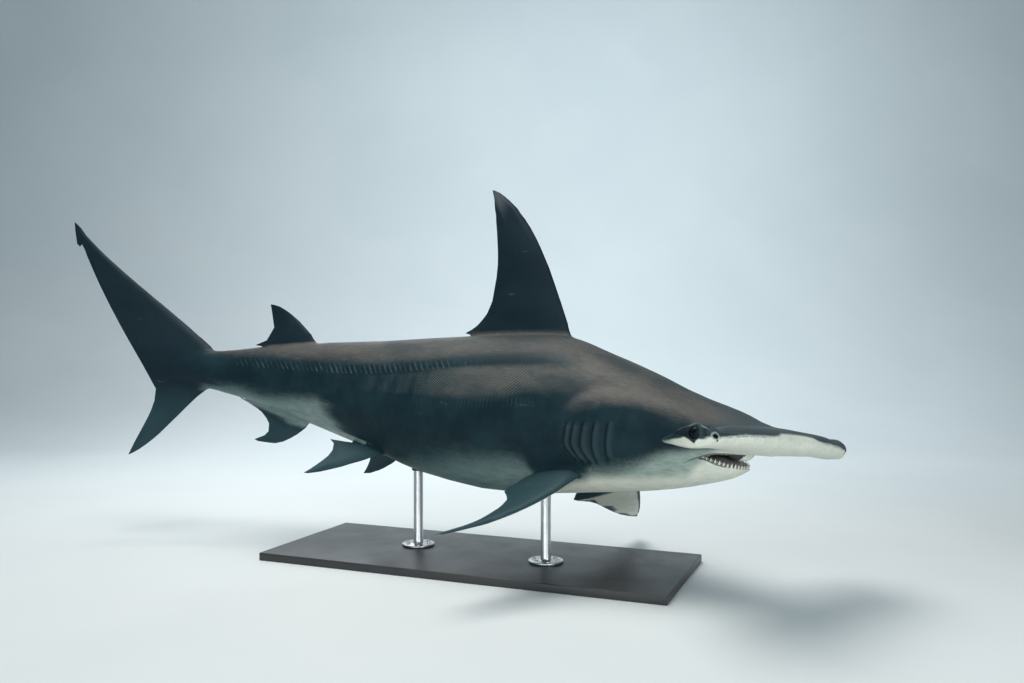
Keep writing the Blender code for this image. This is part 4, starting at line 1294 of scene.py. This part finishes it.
def jaw_path(lips, behind, inside, raised, count=61):
    """The line that a row of teeth follows on one jaw, from the right to the left corner."""
    turn = np.linspace(-0.95, 0.95, count) * math.pi / 2
    out = (JAW_CORNER_OUT - inside) * np.sin(turn)
    back = JAW_FRONT + behind + (JAW_CORNER_BACK - JAW_FRONT) * (1 - np.cos(turn))
    return columns(back, out, smooth_through((*lips, MOUTH_CORNER), back) + raised)


def tooth():
    """One broad-based pointed tooth, one unit high, with slightly hollow sides."""
    angle = round_angles(ROUND_SIDES)
    rings = []
    for share in TOOTH_LEVELS:
        hollow = 1 - TOOTH_HOLLOW * math.sin(math.pi * share)
        width = TOOTH_HALF_WIDTH * (1 - share) ** 0.85 * hollow + 0.008
        depth = TOOTH_HALF_DEPTH * (1 - share) ** 0.7 + 0.006
        thick = depth * np.sin(angle) - TOOTH_CURVE * share**2
        rings.append(columns(width * np.cos(angle), thick, share - TOOTH_SUNK))
    return lofted("tooth", rings)


def bolt():
    """One round-headed bolt with a hexagon socket, one unit high."""
    head = turned("bolt", ((1.5, -0.3), (1.5, 0.55), (1.38, 0.85), (1.1, 1.0)), segments=28)
    return cut_away(head, turned("bolt_socket", ((0.62, 0.35), (0.62, 1.4)), segments=6))


def row_along(tree, name, path, leans, piece, closed=False, **settings):
    """A mesh of copies of a piece along a path. Settings give Count, Size, Smallest and Seed."""
    edges = [(k, k + 1) for k in range(len(path) - 1)] + ([(len(path) - 1, 0)] if closed else [])
    mesh = bpy.data.meshes.new(name)
    mesh.from_pydata([tuple(p) for p in path], edges, [])
    row = linked(name, mesh)
    store(row, "lean", leans)
    nodes = row.modifiers.new("row", "NODES")
    nodes.node_group = tree
    settings["Piece"] = piece
    for socket in tree.interface.items_tree:
        if socket.in_out == "INPUT" and socket.name in settings:
            nodes[socket.identifier] = settings[socket.name]
    return finished_mesh(row)


def tooth_rows(tree, name, lips, rows, way):
    """All teeth of one jaw, straight. Way is 1 for teeth that point up and -1 for down."""
    template = tooth()
    made = []
    for count, height, behind, lean, unlike, seed in rows:
        path = jaw_path(lips, behind, GUM_BACK + 0.4 * behind, 0.0)
        leans = np.full_like(path, float(way))
        leans[:, 0] = -lean
        leans[:, 1] = 0.18 * path[:, 1] / JAW_CORNER_OUT
        sizes = {"Count": count, "Size": height, "Smallest": 1 - unlike, "Seed": seed}
        made.append(row_along(tree, name, path, leans, template, **sizes))
    bpy.data.objects.remove(template, do_unlink=True)
    return merged(name, made)


# Node trees.


class Signal:
    """A node's output. Signs between signals and numbers place Math nodes."""

    def __init__(self, board, socket):
        self.board, self.socket = board, socket

    def __add__(self, other):
        return self.board.math("ADD", self, other)

    def __sub__(self, other):
        return self.board.math("SUBTRACT", self, other)

    def __rsub__(self, other):
        return self.board.math("SUBTRACT", other, self)

    def __mul__(self, other):
        return self.board.math("MULTIPLY", self, other)

    def __pow__(self, other):
        return self.board.math("POWER", self, other)

    def span(self, low, high):
        """0 at low to 1 at high, with soft ends."""
        inputs = {"Value": self, "From Min": low, "From Max": high}
        settings = {"interpolation_type": "SMOOTHSTEP"}
        return self.board.value("ShaderNodeMapRange", "Result", inputs, **settings)


class Board:
    """A shader or geometry tree with short ways to place and link its nodes."""

    def __init__(self, tree):
        self.tree = tree

    def fill(self, sockets, values):
        """Sets sockets, given by name or number, to values or links them to signals."""
        for name, value in values.items():
            if isinstance(value, Signal):
                self.tree.links.new(value.socket, sockets[name])
            else:
                sockets[name].default_value = value

    def node(self, kind, inputs=None, **settings):
        """Places a node, and gives its outputs as signals by name and by number."""
        made = self.tree.nodes.new(kind)
        for name, value in settings.items():
            setattr(made, name, value)
        self.fill(made.inputs, inputs or {})
        signals = [Signal(self, socket) for socket in made.outputs]
        named = {signal.socket.name: signal for signal in reversed(signals)}
        return named | dict(enumerate(signals))

    def value(self, kind, output, inputs=None, **settings):
        """Places a node, and gives one of its outputs."""
        return self.node(kind, inputs, **settings)[output]

    def read(self, name, output="Fac"):
        """A value that the mesh keeps under a name."""
        return self.value("ShaderNodeAttribute", output, attribute_name=name)

    def own_place(self):
        """The place on the object itself."""
        return self.value("ShaderNodeTexCoord", "Object")

    def math(self, operation, *values):
        """A Math node's result."""
        return self.value("ShaderNodeMath", 0, dict(enumerate(values)), operation=operation)

    def mix(self, share, first, second):
        """Two colours mixed by a share."""
        first, second = ((*c, 1.0) if isinstance(c, tuple) else c for c in (first, second))
        inputs = {0: share, 6: first, 7: second}
        return self.value("ShaderNodeMix", 2, inputs, data_type="RGBA")

    def layered(self, colour, *layers):
        """A colour with tones laid over it, each given as a mask, its strength and the tone."""
        for mask, strength, tone in layers:
            colour = self.mix(mask if strength == 1 else mask * strength, colour, tone)
        return colour

    def noise(self, place, scale, detail=4.0, roughness=0.55, stretch=None, tilt=0.0):
        """A noise value round 0.5, stretched along the axes and tilted about the sideways one."""
        if stretch:
            turn = (0.0, tilt, 0.0)
            inputs = {"Vector": place, "Scale": stretch, "Rotation": turn}
            place = self.value("ShaderNodeMapping", "Vector", inputs)
        inputs = {"Vector": place, "Scale": scale, "Detail": detail, "Roughness": roughness}
        return self.value("ShaderNodeTexNoise", "Fac", inputs)

    def bump(self, strength, distance, height, over=None):
        """A normal in relief by a height, over another normal."""
        inputs = {"Strength": strength, "Distance": distance, "Height": height}
        if over:
            inputs["Normal"] = over
        return self.value("ShaderNodeBump", "Normal", inputs)

    def group(self, tree, **inputs):
        """Places a shader group. Spaces in the names of its inputs are given as underscores."""
        inputs = {name.replace("_", " "): value for name, value in inputs.items()}
        return self.node("ShaderNodeGroup", inputs, node_tree=tree)


def node_group(kind, name, inputs, outputs, build):
    """A node group with named inputs and outputs, built once."""
    tree = bpy.data.node_groups.new(name, kind)
    for way, sockets in (("INPUT", inputs), ("OUTPUT", outputs)):
        for label, socket in sockets.items():
            tree.interface.new_socket(label, in_out=way, socket_type=f"NodeSocket{socket}")
    board = Board(tree)
    board.node("NodeGroupOutput", build(board, board.node("NodeGroupInput")))
    return tree


def row_tree():
    """Node tree that sets copies of a piece along a line, each a little under the full size."""

    def build(board, entry):
        turn = "FunctionNodeAlignRotationToVector"
        line = board.value("GeometryNodeMeshToCurve", "Curve", {"Mesh": entry["Line"]})
        inputs = {"Curve": line, "Count": entry["Count"]}
        even = board.value("GeometryNodeResampleCurve", "Curve", inputs, mode="COUNT")
        piece = board.value("GeometryNodeObjectInfo", "Geometry", {"Object": entry["Piece"]})
        stored = "GeometryNodeInputNamedAttribute"
        lean = board.value(stored, "Attribute", {"Name": "lean"}, data_type="FLOAT_VECTOR")
        upright = board.value(turn, "Rotation", {"Vector": lean}, axis="Z")
        tangent = board.value("GeometryNodeInputTangent", "Tangent")
        inputs = {"Rotation": upright, "Vector": tangent}
        along = board.value(turn, "Rotation", inputs, axis="X", pivot_axis="Z")
        inputs = {2: entry["Smallest"], 3: 1.0, "Seed": entry["Seed"]}
        unlike = board.value("FunctionNodeRandomValue", 1, inputs, data_type="FLOAT")
        size = unlike * entry["Size"]
        inputs = {"Points": even, "Instance": piece, "Rotation": along, "Scale": size}
        copies = board.value("GeometryNodeInstanceOnPoints", "Instances", inputs)
        real = board.value("GeometryNodeRealizeInstances", "Geometry", {"Geometry": copies})
        return {"Row": real}

    inputs = {"Line": "Geometry", "Piece": "Object", "Count": "Int", "Size": "Float"}
    inputs |= {"Smallest": "Float", "Seed": "Int"}
    return node_group("GeometryNodeTree", "row_of_pieces", inputs, {"Row": "Geometry"}, build)


def grain_group():
    """Fine grain: a height for relief, and a mottle for colour and gloss."""

    def build(board, entry):
        place = entry["Place"]
        inputs = {0: place, "Scale": entry["Grain Scale"]}
        scaled = board.value("ShaderNodeVectorMath", 0, inputs, operation="SCALE")
        inputs = {"Vector": scaled, "Scale": (0.6, 1.0, 1.0)}
        inputs = {"Vector": board.value("ShaderNodeMapping", "Vector", inputs), "Scale": 1.0}
        cells = board.value("ShaderNodeTexVoronoi", "Distance", inputs, feature="F1")
        height = cells * -0.5 + board.noise(place, 26.0, 5.0, 0.6)
        return {"Height": height, "Mottle": board.noise(place, 7.0, 6.0, 0.65)}

    inputs = {"Place": "Vector", "Grain Scale": "Float"}
    outputs = {"Height": "Float", "Mottle": "Float"}
    return node_group("ShaderNodeTree", "fine_grain", inputs, outputs, build)


def muscle_group():
    """The slanting lines that muscle bands press into the flank, above and below its groove."""

    def build(board, entry):
        place, above, foot = entry["Place"], entry["Above Groove"], entry["Above Foot"]
        x = board.value("ShaderNodeSeparateXYZ", "X", {"Vector": place})
        moved = x + (board.noise(place, 7.0, 3.0) - 0.5) * 0.03
        gaps = board.noise(place, 16.0, 3.0, stretch=(1.0, 0.3, 0.3)).span(0.3, 0.62)

        def lines(slant, spacing, thinness):
            wave = board.math("SINE", (moved - above * slant) * (2 * math.pi / spacing))
            return (wave * 0.5 + 0.5) ** thinness * 1.45 - 0.45

        upper = above.span(0.0, 0.006) * above.span(0.062, 0.01) * x.span(1.05, 1.65)
        lower = above.span(0.001, -0.008) * foot.span(-0.006, 0.018) * x.span(2.15, 1.55)
        third = foot.span(0.0, -0.012) * foot.span(-0.062, -0.026) * x.span(1.75, 1.45)
        wave = upper * lines(0.8, 0.0255, 2.6) + lower * lines(-1.15, 0.015, 1.6)
        return {"Wave": (wave + third * 0.36 * lines(0.1, 0.018, 1.6)) * gaps}

    inputs = {"Place": "Vector", "Above Groove": "Float", "Above Foot": "Float"}
    return node_group("ShaderNodeTree", "muscle_lines", inputs, {"Wave": "Float"}, build)


# Materials.


def new_material(name):
    """A material with its board and the inputs of its Principled shader."""
    material = bpy.data.materials.new(name)
    material.use_nodes = True
    shader = material.node_tree.nodes["Principled BSDF"]
    return material, Board(material.node_tree), shader.inputs


def skin_material(grain, muscles):
    """Brown-grey back, dark slate flanks and fins, cream belly, with the skin's own marks and its
    painted light and shade.
    """
    material, board, shader = new_material("shark_skin")
    read, mix, layered = board.read, board.mix, board.layered
    place = read("straight", "Vector")
    fine = board.group(grain, Place=place, Grain_Scale=SKIN_GRAIN_SCALE)
    height, mottle = fine["Height"], fine["Mottle"]
    broad = board.noise(place, 3.2, 5.0, 0.6, (0.35, 1.0, 1.0))
    flecks = board.noise(place, 120.0, 3.0, 0.7)
    slanted = board.noise(place, 48.0, 4.0, 0.65, (0.35, 1.0, 1.3), -0.75)
    streaks = board.noise(place, 150.0, 5.0, 0.72, (0.16, 1.0, 1.0), 0.22)
    patchy = board.noise(place, 11.0, 5.0, 0.65, (0.4, 1.0, 1.0), 0.25)
    scratch = board.noise(place, 16.0, 2.0, 0.5, (0.22, 3.0, 2.6), 0.45)

    uneven = (mottle - 0.5) * 1.3
    broken = read("shade") + (uneven + ((slanted - 0.5) * 1.3 + (flecks - 0.5) * 0.7))
    lit = 1.0 - broken.span(-1.2, 1.3)
    darkness = 1.0 - lit**1.8

    brown = layered(
        mix(broad.span(0.36, 0.66), *TONES["back"]),
        (streaks.span(0.5, 0.75), 0.4, (0.155, 0.146, 0.134)),
        (streaks.span(0.5, 0.28), 0.35, (0.026, 0.033, 0.035)),
        (flecks.span(0.55, 0.75), 0.25, (0.12, 0.118, 0.11)),
        (patchy.span(0.56, 0.36), 0.6, (0.022, 0.036, 0.041)),
        (read("head_top"), 0.65, (0.05, 0.078, 0.088)),
    )
    # The brown is partly the skin's own colour and partly painted sunlight on the back's lit
    # surfaces.
    warm = (read("brown_and_sunlight") + (streaks - 0.5) * 0.35).span(0.08, 0.92)
    warm = warm * read("brown_and_sunlight").span(0.0, 0.2) * broad.span(0.12, 0.42)
    dark = mix(warm, mix(mottle.span(0.35, 0.7), *TONES["flank"]), brown)
    dark = layered(dark, (read("front_edge"), 0.7, (0.04, 0.062, 0.07)))
    fin = layered(
        mix(broad.span(0.35, 0.65), *TONES["fin"]),
        (flecks.span(0.58, 0.72), 0.35, (0.016, 0.042, 0.054)),
        # Painted light: lighter fins below the body, for the light thrown up from the floor.
        (read("low_fin_bounce"), 0.8, (0.026, 0.064, 0.074)),
    )
    dark = mix(read("finned"), dark, fin)
    dull, fair = (mix(slanted.span(0.32, 0.68), *TONES[name]) for name in ("dull", "fair"))
    sage = mix(read("belly_light"), dull, fair)
    cream = mix(slanted.span(0.35, 0.65), *TONES["cream"])
    pale = mix((read("cream") + uneven * 0.012).span(-0.024, 0.016), sage, cream)

    marks = {"Above_Groove": read("above_groove"), "Above_Foot": read("above_foot")}
    wave = board.group(muscles, Place=place, **marks)["Wave"] * read("bands")
    patch = read("patch") + (slanted - 0.5) * 0.005
    hem = broken.span(-1.7, -1.2) * broken.span(-0.5, -0.9)
    hem = hem * read("wing_face") * streaks.span(0.46, 0.56)
    pores = flecks.span(0.665, 0.7) * read("cream").span(0.02, 0.06)
    lining_shade = read("lining_shade").span(-0.0004, 0.0012)
    colour = layered(
        mix(darkness, pale, dark),
        # Painted highlight on the muscle lines' ridges and painted shade in their furrows, over
        # their bump.
        (wave.span(0.0, 1.0), 0.45, (0.12, 0.15, 0.148)),
        (wave.span(0.0, -0.5), 0.38, (0.005, 0.017, 0.022)),
        (scratch.span(0.685, 0.7) * mottle.span(0.54, 0.6), 0.1, (0.24, 0.3, 0.29)),
        (read("gill_light"), 0.13, (0.11, 0.175, 0.18)),
        (read("gill_shadow"), 0.8, (0.003, 0.01, 0.013)),
        (patch.span(-0.0016, 0.004), 1, (0.0035, 0.012, 0.017)),
        (read("patch_light"), 0.55, (0.055, 0.09, 0.098)),
        # Painted shadow under the hammer's lower edge.
        (read("under_wing_shadow"), 0.9, (0.005, 0.016, 0.021)),
        # Painted highlight along the brow ridge.
        (read("brow"), 0.8, (0.29, 0.36, 0.365)),
        (hem, 0.75, (0.03, 0.052, 0.058)),
        (pores, 0.3, (0.16, 0.185, 0.17)),
        (read("nostril_rim"), 0.55, (0.52, 0.57, 0.53)),
        # Painted shade in the nostril pits.
        (read("nostril"), 1, (0.003, 0.004, 0.004)),
        # The lining, painted dark: partly the mouth's wet skin, partly painted shade inside the
        # mouth.
        (lining_shade, 1, (0.04, 0.045, 0.044)),
    )
    relief = board.bump(0.2, 0.0015, streaks, board.bump(0.25, 0.0012, height))
    values = {
        "Base Color": colour,
        "Roughness": mottle * 0.16 + 0.46 - lining_shade * 0.22,
        "Specular IOR Level": 0.34 - darkness * 0.2,
        "Normal": board.bump(0.35, 0.0016, wave, relief),
    }
    board.fill(shader, values)
    return material


def grained_finish(name, grain, colour, roughness, grain_scale, depth, metallic=0.0):
    """A finish with a slight mottle of colour and gloss, and a fine grain."""
    material, board, shader = new_material(name)
    fine = board.group(grain, Place=board.own_place(), Grain_Scale=grain_scale)
    mottle = fine["Mottle"].span(0.35, 0.65)
    values = {
        "Base Color": board.mix(mottle, tuple(WORN_SHARE * c for c in colour), colour),
        "Roughness": mottle * 0.08 + (roughness - 0.04),
        "Metallic": metallic,
        "Normal": board.bump(0.2, depth, fine["Height"]),
    }
    board.fill(shader, values)
    return material, board, shader


def eye_material(grain):
    """A black pupil in a dark slate iris with a faint pale rim."""
    look = grained_finish("eye", grain, (0.014, 0.02, 0.024), 0.36, 300.0, 0.0001)
    material, board, shader = look
    gaze = board.read("gaze")
    ripple = board.noise(board.own_place(), 160.0) * 0.1
    iris = board.mix((gaze + ripple).span(0.5, 0.95), *TONES["iris"])
    pupil = gaze.span(PUPIL_REACH - 0.03, PUPIL_REACH + 0.03)
    colour = board.mix(pupil, (0.0015, 0.002, 0.003), iris)
    rim = gaze.span(IRIS_REACH, IRIS_REACH + 0.05)
    colour = board.mix(rim, colour, (0.012, 0.018, 0.022))
    board.fill(shader, {"Base Color": colour, "Specular IOR Level": 0.1})
    return material


def brushed_finish(grain):
    """Brushed steel: fine streaks round the upright, in gloss and relief."""
    look = grained_finish("brushed_steel", grain, (0.56, 0.57, 0.58), 0.3, 300.0, 0.0004, 1.0)
    material, board, shader = look
    lines = board.noise(board.own_place(), 4.0, 3.0, 0.7, (6.0, 6.0, 240.0))
    normal = board.bump(0.12, 0.0003, lines)
    board.fill(shader, {"Roughness": lines * 0.2 + 0.2, "Normal": normal})
    return material


# Building.


def dress(piece, material, slot, *nodes, sharp=None):
    """Smooths a finished piece, and gives it its material, body and the nodes it replaces. Its slot
    is not used.
    """
    piece.data.shade_smooth()
    if sharp:
        piece.data.set_sharp_from_angle(angle=math.radians(sharp))
    piece.data.materials.clear()
    piece.data.materials.append(material)
    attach(piece, "root")
    if nodes:
        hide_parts(*nodes)


def shark(grain, rows):
    """The skin, the eyes and all that the open mouth shows."""
    body = skin()
    skin_marks(body)
    look = skin_material(grain, muscle_group())
    dress(bend_thing(body), look, "skin_back", *FLESH_NODES, sharp=62)

    eye_look = eye_material(grain)
    for word, side in (("left", 1), ("right", -1)):
        eye = ball(f"eyeball_{word}", eye_place(side), (EYE_RADIUS,) * 3)
        away = (points_of(eye) - eye_place(side)) / EYE_RADIUS
        gaze = np.hypot(away[:, 0], away[:, 2])
        store(eye, "gaze", np.where(away[:, 1] * side > 0, gaze, 1.0))
        dress(bend_thing(eye), eye_look, "eye", f"eye_{word}")

    flesh, _, _ = grained_finish("mouth_lining", grain, (0.175, 0.172, 0.16), 0.34, 240.0, 0.0012)
    dress(bend_thing(ball("mouth_floor", TONGUE_CENTRE, TONGUE_RADII)), flesh, "mouth")
    ivory, _, _ = grained_finish("teeth", grain, (0.76, 0.74, 0.64), 0.22, 600.0, 0.0002)
    for word, lips, tooth_table, way in (
        ("lower", LOWER_LIP, LOWER_ROWS, 1),
        ("upper", UPPER_LIP, UPPER_ROWS, -1),
    ):
        path = jaw_path(lips, GUM_BACK, GUM_BACK, -GUM_SUNK * way)
        dress(bend_thing(tube_along(f"gum_{word}", path, GUM_RADIUS)), flesh, "mouth")
        row = tooth_rows(rows, f"teeth_{word}", lips, tooth_table, way)
        dress(bend_thing(row), ivory, "teeth")


def plinth():
    """The base of the stand, with its edges rounded."""
    work = bmesh.new()
    bmesh.ops.create_cube(work, size=1.0)
    for vertex in work.verts:
        vertex.co = (BASE_LOW + BASE_HIGH) / 2 + (BASE_HIGH - BASE_LOW) * np.array(vertex.co)
    shape = {"offset_type": "OFFSET", "segments": 4, "profile": 0.5, "affect": "EDGES"}
    bmesh.ops.bevel(work, geom=work.edges[:], offset=PLINTH_BEVEL, **shape)
    return linked_work("stand_plinth", work)


def stand(grain, rows):
    """Plinth, posts with flanges, bolts, and soft rings where the posts enter the belly."""
    black, _, _ = grained_finish("satin_black", grain, (0.03, 0.031, 0.033), 0.42, 500.0, 0.0002)
    steel = brushed_finish(grain)
    rubber, _, _ = grained_finish("soft_ring", grain, (0.018, 0.018, 0.019), 0.7, 350.0, 0.0004)
    dress(plinth(), black, "stand", "stand_base", sharp=40)

    template = bolt()
    bolts, gaskets = [], []
    floor = BASE_HIGH[2]
    thick = FLANGE_THICKNESS
    for word, station in ROD_STATIONS.items():
        x, y, z = belly_point(station) - SHIFT
        profile = [(FLANGE_RADIUS - inward, thick * up + more) for inward, up, more in FLANGE_EDGE]
        profile += [(ROD_RADIUS + out, thick + up) for out, up in FLANGE_COLLAR]
        profile.append((ROD_RADIUS, z - floor + ROD_IN_BELLY))
        post = turned(f"stand_post_{word}", profile, (x, y, floor))
        dress(post, steel, "steel", f"stand_rod_{word}", sharp=50)
        path = ring_path((x, y, floor + thick), BOLT_CIRCLE, 2)
        upright = np.tile((0.0, 0.0, 1.0), (len(path), 1))
        sizes = {"Count": 6, "Size": BOLT_HEIGHT, "Smallest": 1.0, "Seed": 1}
        bolts.append(row_along(rows, "stand_bolts", path, upright, template, closed=True, **sizes))
        path = ring_path((x, y, z - GASKET_INSET), ROD_RADIUS + GASKET_INSET, 2)
        gaskets.append(tube_along("gasket", path, GASKET_RADIUS, closed=True))
    bpy.data.objects.remove(template, do_unlink=True)
    dress(merged("stand_bolts", bolts), steel, "steel", sharp=40)
    dress(merged("stand_gaskets", gaskets), rubber, "stand")


def backdrop():
    """A pale sweep behind the model."""
    back, radius = SWEEP_START, SWEEP_RADIUS
    angles = np.linspace(0.06, math.pi / 2, 24)
    profile = [(FLOOR_FRONT, 0.0), (back, 0.0)]
    profile += [(back + radius * math.sin(a), radius - radius * math.cos(a)) for a in angles]
    profile.append((back + radius, WALL_HEIGHT))
    across, deep = math.cos(CAMERA_HEADING), math.sin(CAMERA_HEADING)
    points = [
        (side * across - away * deep, side * deep + away * across, up)
        for side in (-BACKDROP_HALF_WIDTH, BACKDROP_HALF_WIDTH)
        for away, up in profile
    ]
    count = len(profile)
    mesh = bpy.data.meshes.new("studio_floor")
    faces = [(k, k + count, k + 1 + count, k + 1) for k in range(count - 1)]
    mesh.from_pydata(points, [], faces)
    mesh.shade_smooth()
    paint, board, shader = new_material("studio_floor")
    cloud = board.noise(board.own_place(), 0.6, 3.0).span(0.3, 0.7)
    colour = board.mix(cloud, (0.62, 0.665, 0.68), (0.66, 0.7, 0.71))
    board.fill(shader, {"Base Color": colour, "Roughness": 0.85, "Specular IOR Level": 0.2})
    mesh.materials.append(paint)
    return linked("studio_floor", mesh)


def studio():
    """The backdrop, soft lights and the photograph's camera."""
    floor = backdrop()

    camera = linked("camera", bpy.data.cameras.new("camera"))
    camera.location = np.array(CAMERA_PLACE) - SHIFT
    camera.rotation_euler = (math.radians(90) + CAMERA_TILT, 0.0, CAMERA_HEADING)
    camera.data.lens = CAMERA_LENS
    camera.data.sensor_width = 36.0
    scene = bpy.context.scene
    scene.camera = camera

    for name, place, target, size, power, tint in LIGHTS:
        light = linked(name, bpy.data.lights.new(name, "AREA"))
        light.location = place
        light.rotation_mode = "QUATERNION"
        light.rotation_quaternion = (Vector(target) - Vector(place)).to_track_quat("-Z", "Y")
        light.data.shape = "RECTANGLE"
        light.data.size, light.data.size_y = size
        light.data.energy = power
        light.data.color = tint

    world = bpy.data.worlds.new("studio")
    world.use_nodes = True
    sky = world.node_tree.nodes["Background"].inputs
    sky["Color"].default_value = SKY_COLOUR
    sky["Strength"].default_value = SKY_STRENGTH
    scene.world = world
    scene.view_settings.view_transform = "Standard"


def main():
    grain = grain_group()
    rows = row_tree()
    shark(grain, rows)
    stand(grain, rows)
    studio()


main()
